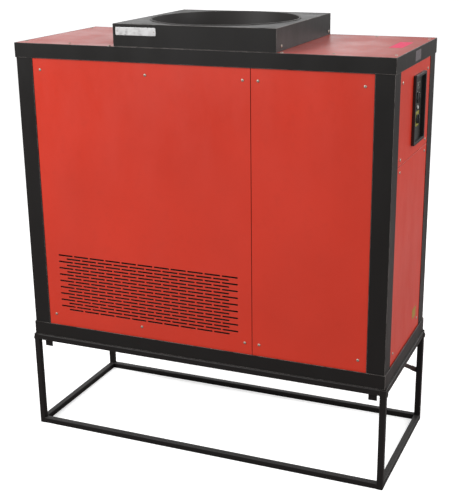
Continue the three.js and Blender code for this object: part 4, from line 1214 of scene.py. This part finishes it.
def add_meter():
    """The hour meter: a moulded case with a dark window over six blank counting drums."""
    low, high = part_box("hour_meter")
    depth = high.x - low.x
    rim = rounded_rectangle(low.y, high.y, low.z, high.z, 2 * MM, 5)
    x0, x1, z0, z1 = low.y + 6 * MM, high.y - 6 * MM, low.z + 6 * MM, high.z - 6 * MM
    hole = rounded_rectangle(x0, x1, z0, z1, 1 * MM, 4)
    case = filled_plate([rim, hole], depth, 0.4 * MM)
    place = facing_right(low.x)
    piece(
        "hour_meter_case", case, "plastic_white",
        material=METER_CASE_PAINTED_SHADE, place=place, stands_for=["hour_meter"],
    )
    bm = bmesh.new()
    add_box(bm, (x0 - 1 * MM, z0 - 1 * MM, 0.2 * MM), (x1 + 1 * MM, z1 + 1 * MM, 0.6 * MM))
    piece("hour_meter_well", bm, "plastic_black", material=DARK_WINDOW, place=place)
    bm = bmesh.new()
    step = (x1 - x0) / 6
    for i in range(6):
        drum_low = (x0 + (i + 0.12) * step, z0 + 1 * MM, 0.5 * MM)
        add_box(bm, drum_low, (x0 + (i + 0.88) * step, z1 - 1 * MM, 1.6 * MM), 0.4 * MM)
    piece("hour_meter_drums", bm, "plastic_white", material=METER_DRUM_PAINTED_SHADE, place=place)


# ---- Labels and nameplate ----


# Each label's and the plate's two limits across and two limits along, in metres, as seen square on.
TOP_LABEL = (0.544, 0.584, -0.038, 0.107)
BAND_LABEL = (-0.035, 0.035, 1.309, 1.340)
SIDE_LABEL = (0.093, 0.142, 0.442, 0.477)
NAMEPLATE = (-0.253, -0.116, 1.383, 1.407)
NAMEPLATE_SHEET = 0.8 * MM
RIVET_X = (-0.247, -0.122)
RIVET_Z = 1.395
LABEL_FILM = 0.25 * MM


def thin_label(name, limits, place, material):
    bm = filled_plate([rounded_rectangle(*limits, 2 * MM, 5)], LABEL_FILM, 0.06 * MM)
    piece(name, bm, "plastic_white", material=material, place=place)


def add_labels():
    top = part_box("top_panel")[1].z
    thin_label("top_label", TOP_LABEL, Matrix.Translation((0, 0, top)), PINK_LABEL)
    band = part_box("cap_frame")[1].x
    thin_label("band_label", BAND_LABEL, facing_right(band), PALE_LABEL)
    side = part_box("side_panel_right_lower")[1].x
    thin_label("side_label", SIDE_LABEL, facing_right(side), YELLOW_LABEL)
    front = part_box("fan_cowl")[0].y
    rim = rounded_rectangle(*NAMEPLATE, 3 * MM, 6)
    bm = filled_plate([rim], NAMEPLATE_SHEET, 0.25 * MM)
    piece("nameplate_blank", bm, "aluminium", material=PLATE_METAL, place=facing_front(front))
    spots = [(x, front - NAMEPLATE_SHEET, RIVET_Z) for x in RIVET_X]
    fasteners("nameplate_rivets", SCREW, spots, FRONT, scale=0.32)


# ---- Drain and gland ----

DRAIN_TOP = Vector((0.556, 0.030, 0.3475))
DRAIN_BEND = Vector((0.556, 0.030, 0.322))
DRAIN_END = Vector((0.6052, 0.2725, 0.1822))
# The coupler on the drain's end: millimetres back from the end, and size against the pipe.
DRAIN_COUPLER = (
    (46, 0.98), (45, 1.12), (43.5, 1.2), (26, 1.2), (24.5, 1.1), (23, 1.2), (4, 1.2), (1, 1.24), (0.2, 1.16),
)


def add_drain():
    path = rounded_route([DRAIN_TOP, DRAIN_BEND, DRAIN_END], 20 * MM, 14)
    bm = bmesh.new()
    add_tube(bm, path, 7.5 * MM, 24)
    along = (DRAIN_END - DRAIN_BEND).normalized()
    coupler = [DRAIN_END - along * distance * MM for distance, size in DRAIN_COUPLER]
    swell = [size for distance, size in DRAIN_COUPLER]
    add_tube(bm, coupler, 7.5 * MM, 24, lambda i: swell[i])
    flange = Matrix.Translation((DRAIN_TOP.x, DRAIN_TOP.y, 0))
    low = DRAIN_TOP.z - 1.4 * MM
    add_turned(bm, from_mm(low, (7.2, 0), (11, 0), (11, 1.2), (7.2, 1.6), (7.2, 0)), 36, flange)
    piece("drain_pipe_moulded", bm, "plastic_brown", stands_for=["drain_pipe"])


def add_gland():
    low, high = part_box("cable_gland")
    x, y = (low.x + high.x) / 2, (low.y + high.y) / 2
    top, nut = high.z, 15 * MM
    bm = bmesh.new()
    place = Matrix.Translation((x, y, 0))
    profile = from_mm(low.z, (5.5, 0), (7.8, 0), (9.9, 1), (12, 4), (12.9, 9), (9.9, 9))
    profile += from_mm(top, (9.9, 0), (5.5, 0)) + from_mm(low.z, (5.5, 0))
    add_turned(bm, profile, 40, place)
    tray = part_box("base_tray")[0].z
    for z0, z1 in ((low.z + 9.2 * MM, tray - 0.3 * MM), (top - 5 * MM, top - 0.4 * MM)):
        rings = []
        for radius, z in ((nut * 0.95, z0), (nut, z0 + 0.7 * MM), (nut, z1 - 0.7 * MM), (nut * 0.95, z1)):
            rings.append([place @ Vector((px, py, z)) for px, py in circle_points(radius, 6)])
        add_rings(bm, rings)
    piece("cable_gland_moulded", bm, "plastic_black", stands_for=["cable_gland"])


# ---- Build ----

WORLD_STRENGTH = 0.43
FLOOR_HALF = 60
SWEEP_HEIGHT = 40
# Each light's name, place, target, width, height and power: metres and watts.
LIGHTS = (
    ("key_light", (-2.4, -3.8, 3.2), (0, 0, 0.9), 2.6, 2.2, 205),
    ("right_light", (4.2, -0.6, 2.2), (0.4, 0, 0.8), 2.0, 2.4, 74),
    ("floor_light", (2.1, 2.4, 2.4), (1.4, 1.6, 0), 1.6, 1.6, 45),
    ("rear_left_light", (-14.6, 20.0, 4.6), (-14.6, 0, 4.2), 20, 8.6, 530),
    ("rear_right_light", (7.6, 20.0, 4.6), (7.6, 0, 4.2), 11, 8.6, 300),
)

make_camera()
make_world(WORLD_STRENGTH)
# The camera sees a white sweep; the light that reaches the dryer comes off a grey workshop floor.
make_floor("studio_floor", FLOOR_HALF, -0.5 * MM, SWEEP_HEIGHT, studio_floor(), ("camera",))
other_rays = ("diffuse", "glossy", "transmission", "shadow")
make_floor("workshop_floor", FLOOR_HALF, -0.6 * MM, 0, workshop_floor(), other_rays)
for light in LIGHTS:
    softbox(*light)
scene.view_settings.view_transform = "Standard"

dress_frame()
add_slotted_panel()
add_fasteners()
add_welds()
add_collar()
add_guard()
add_impeller()
add_motor()
add_filter()
for coil in ("evaporator_coil", "condenser_coil"):
    add_coil(coil)
add_compressor()
add_vessels()
add_pipes()
add_valve()
add_controls()
add_labels()
add_drain()
add_gland()
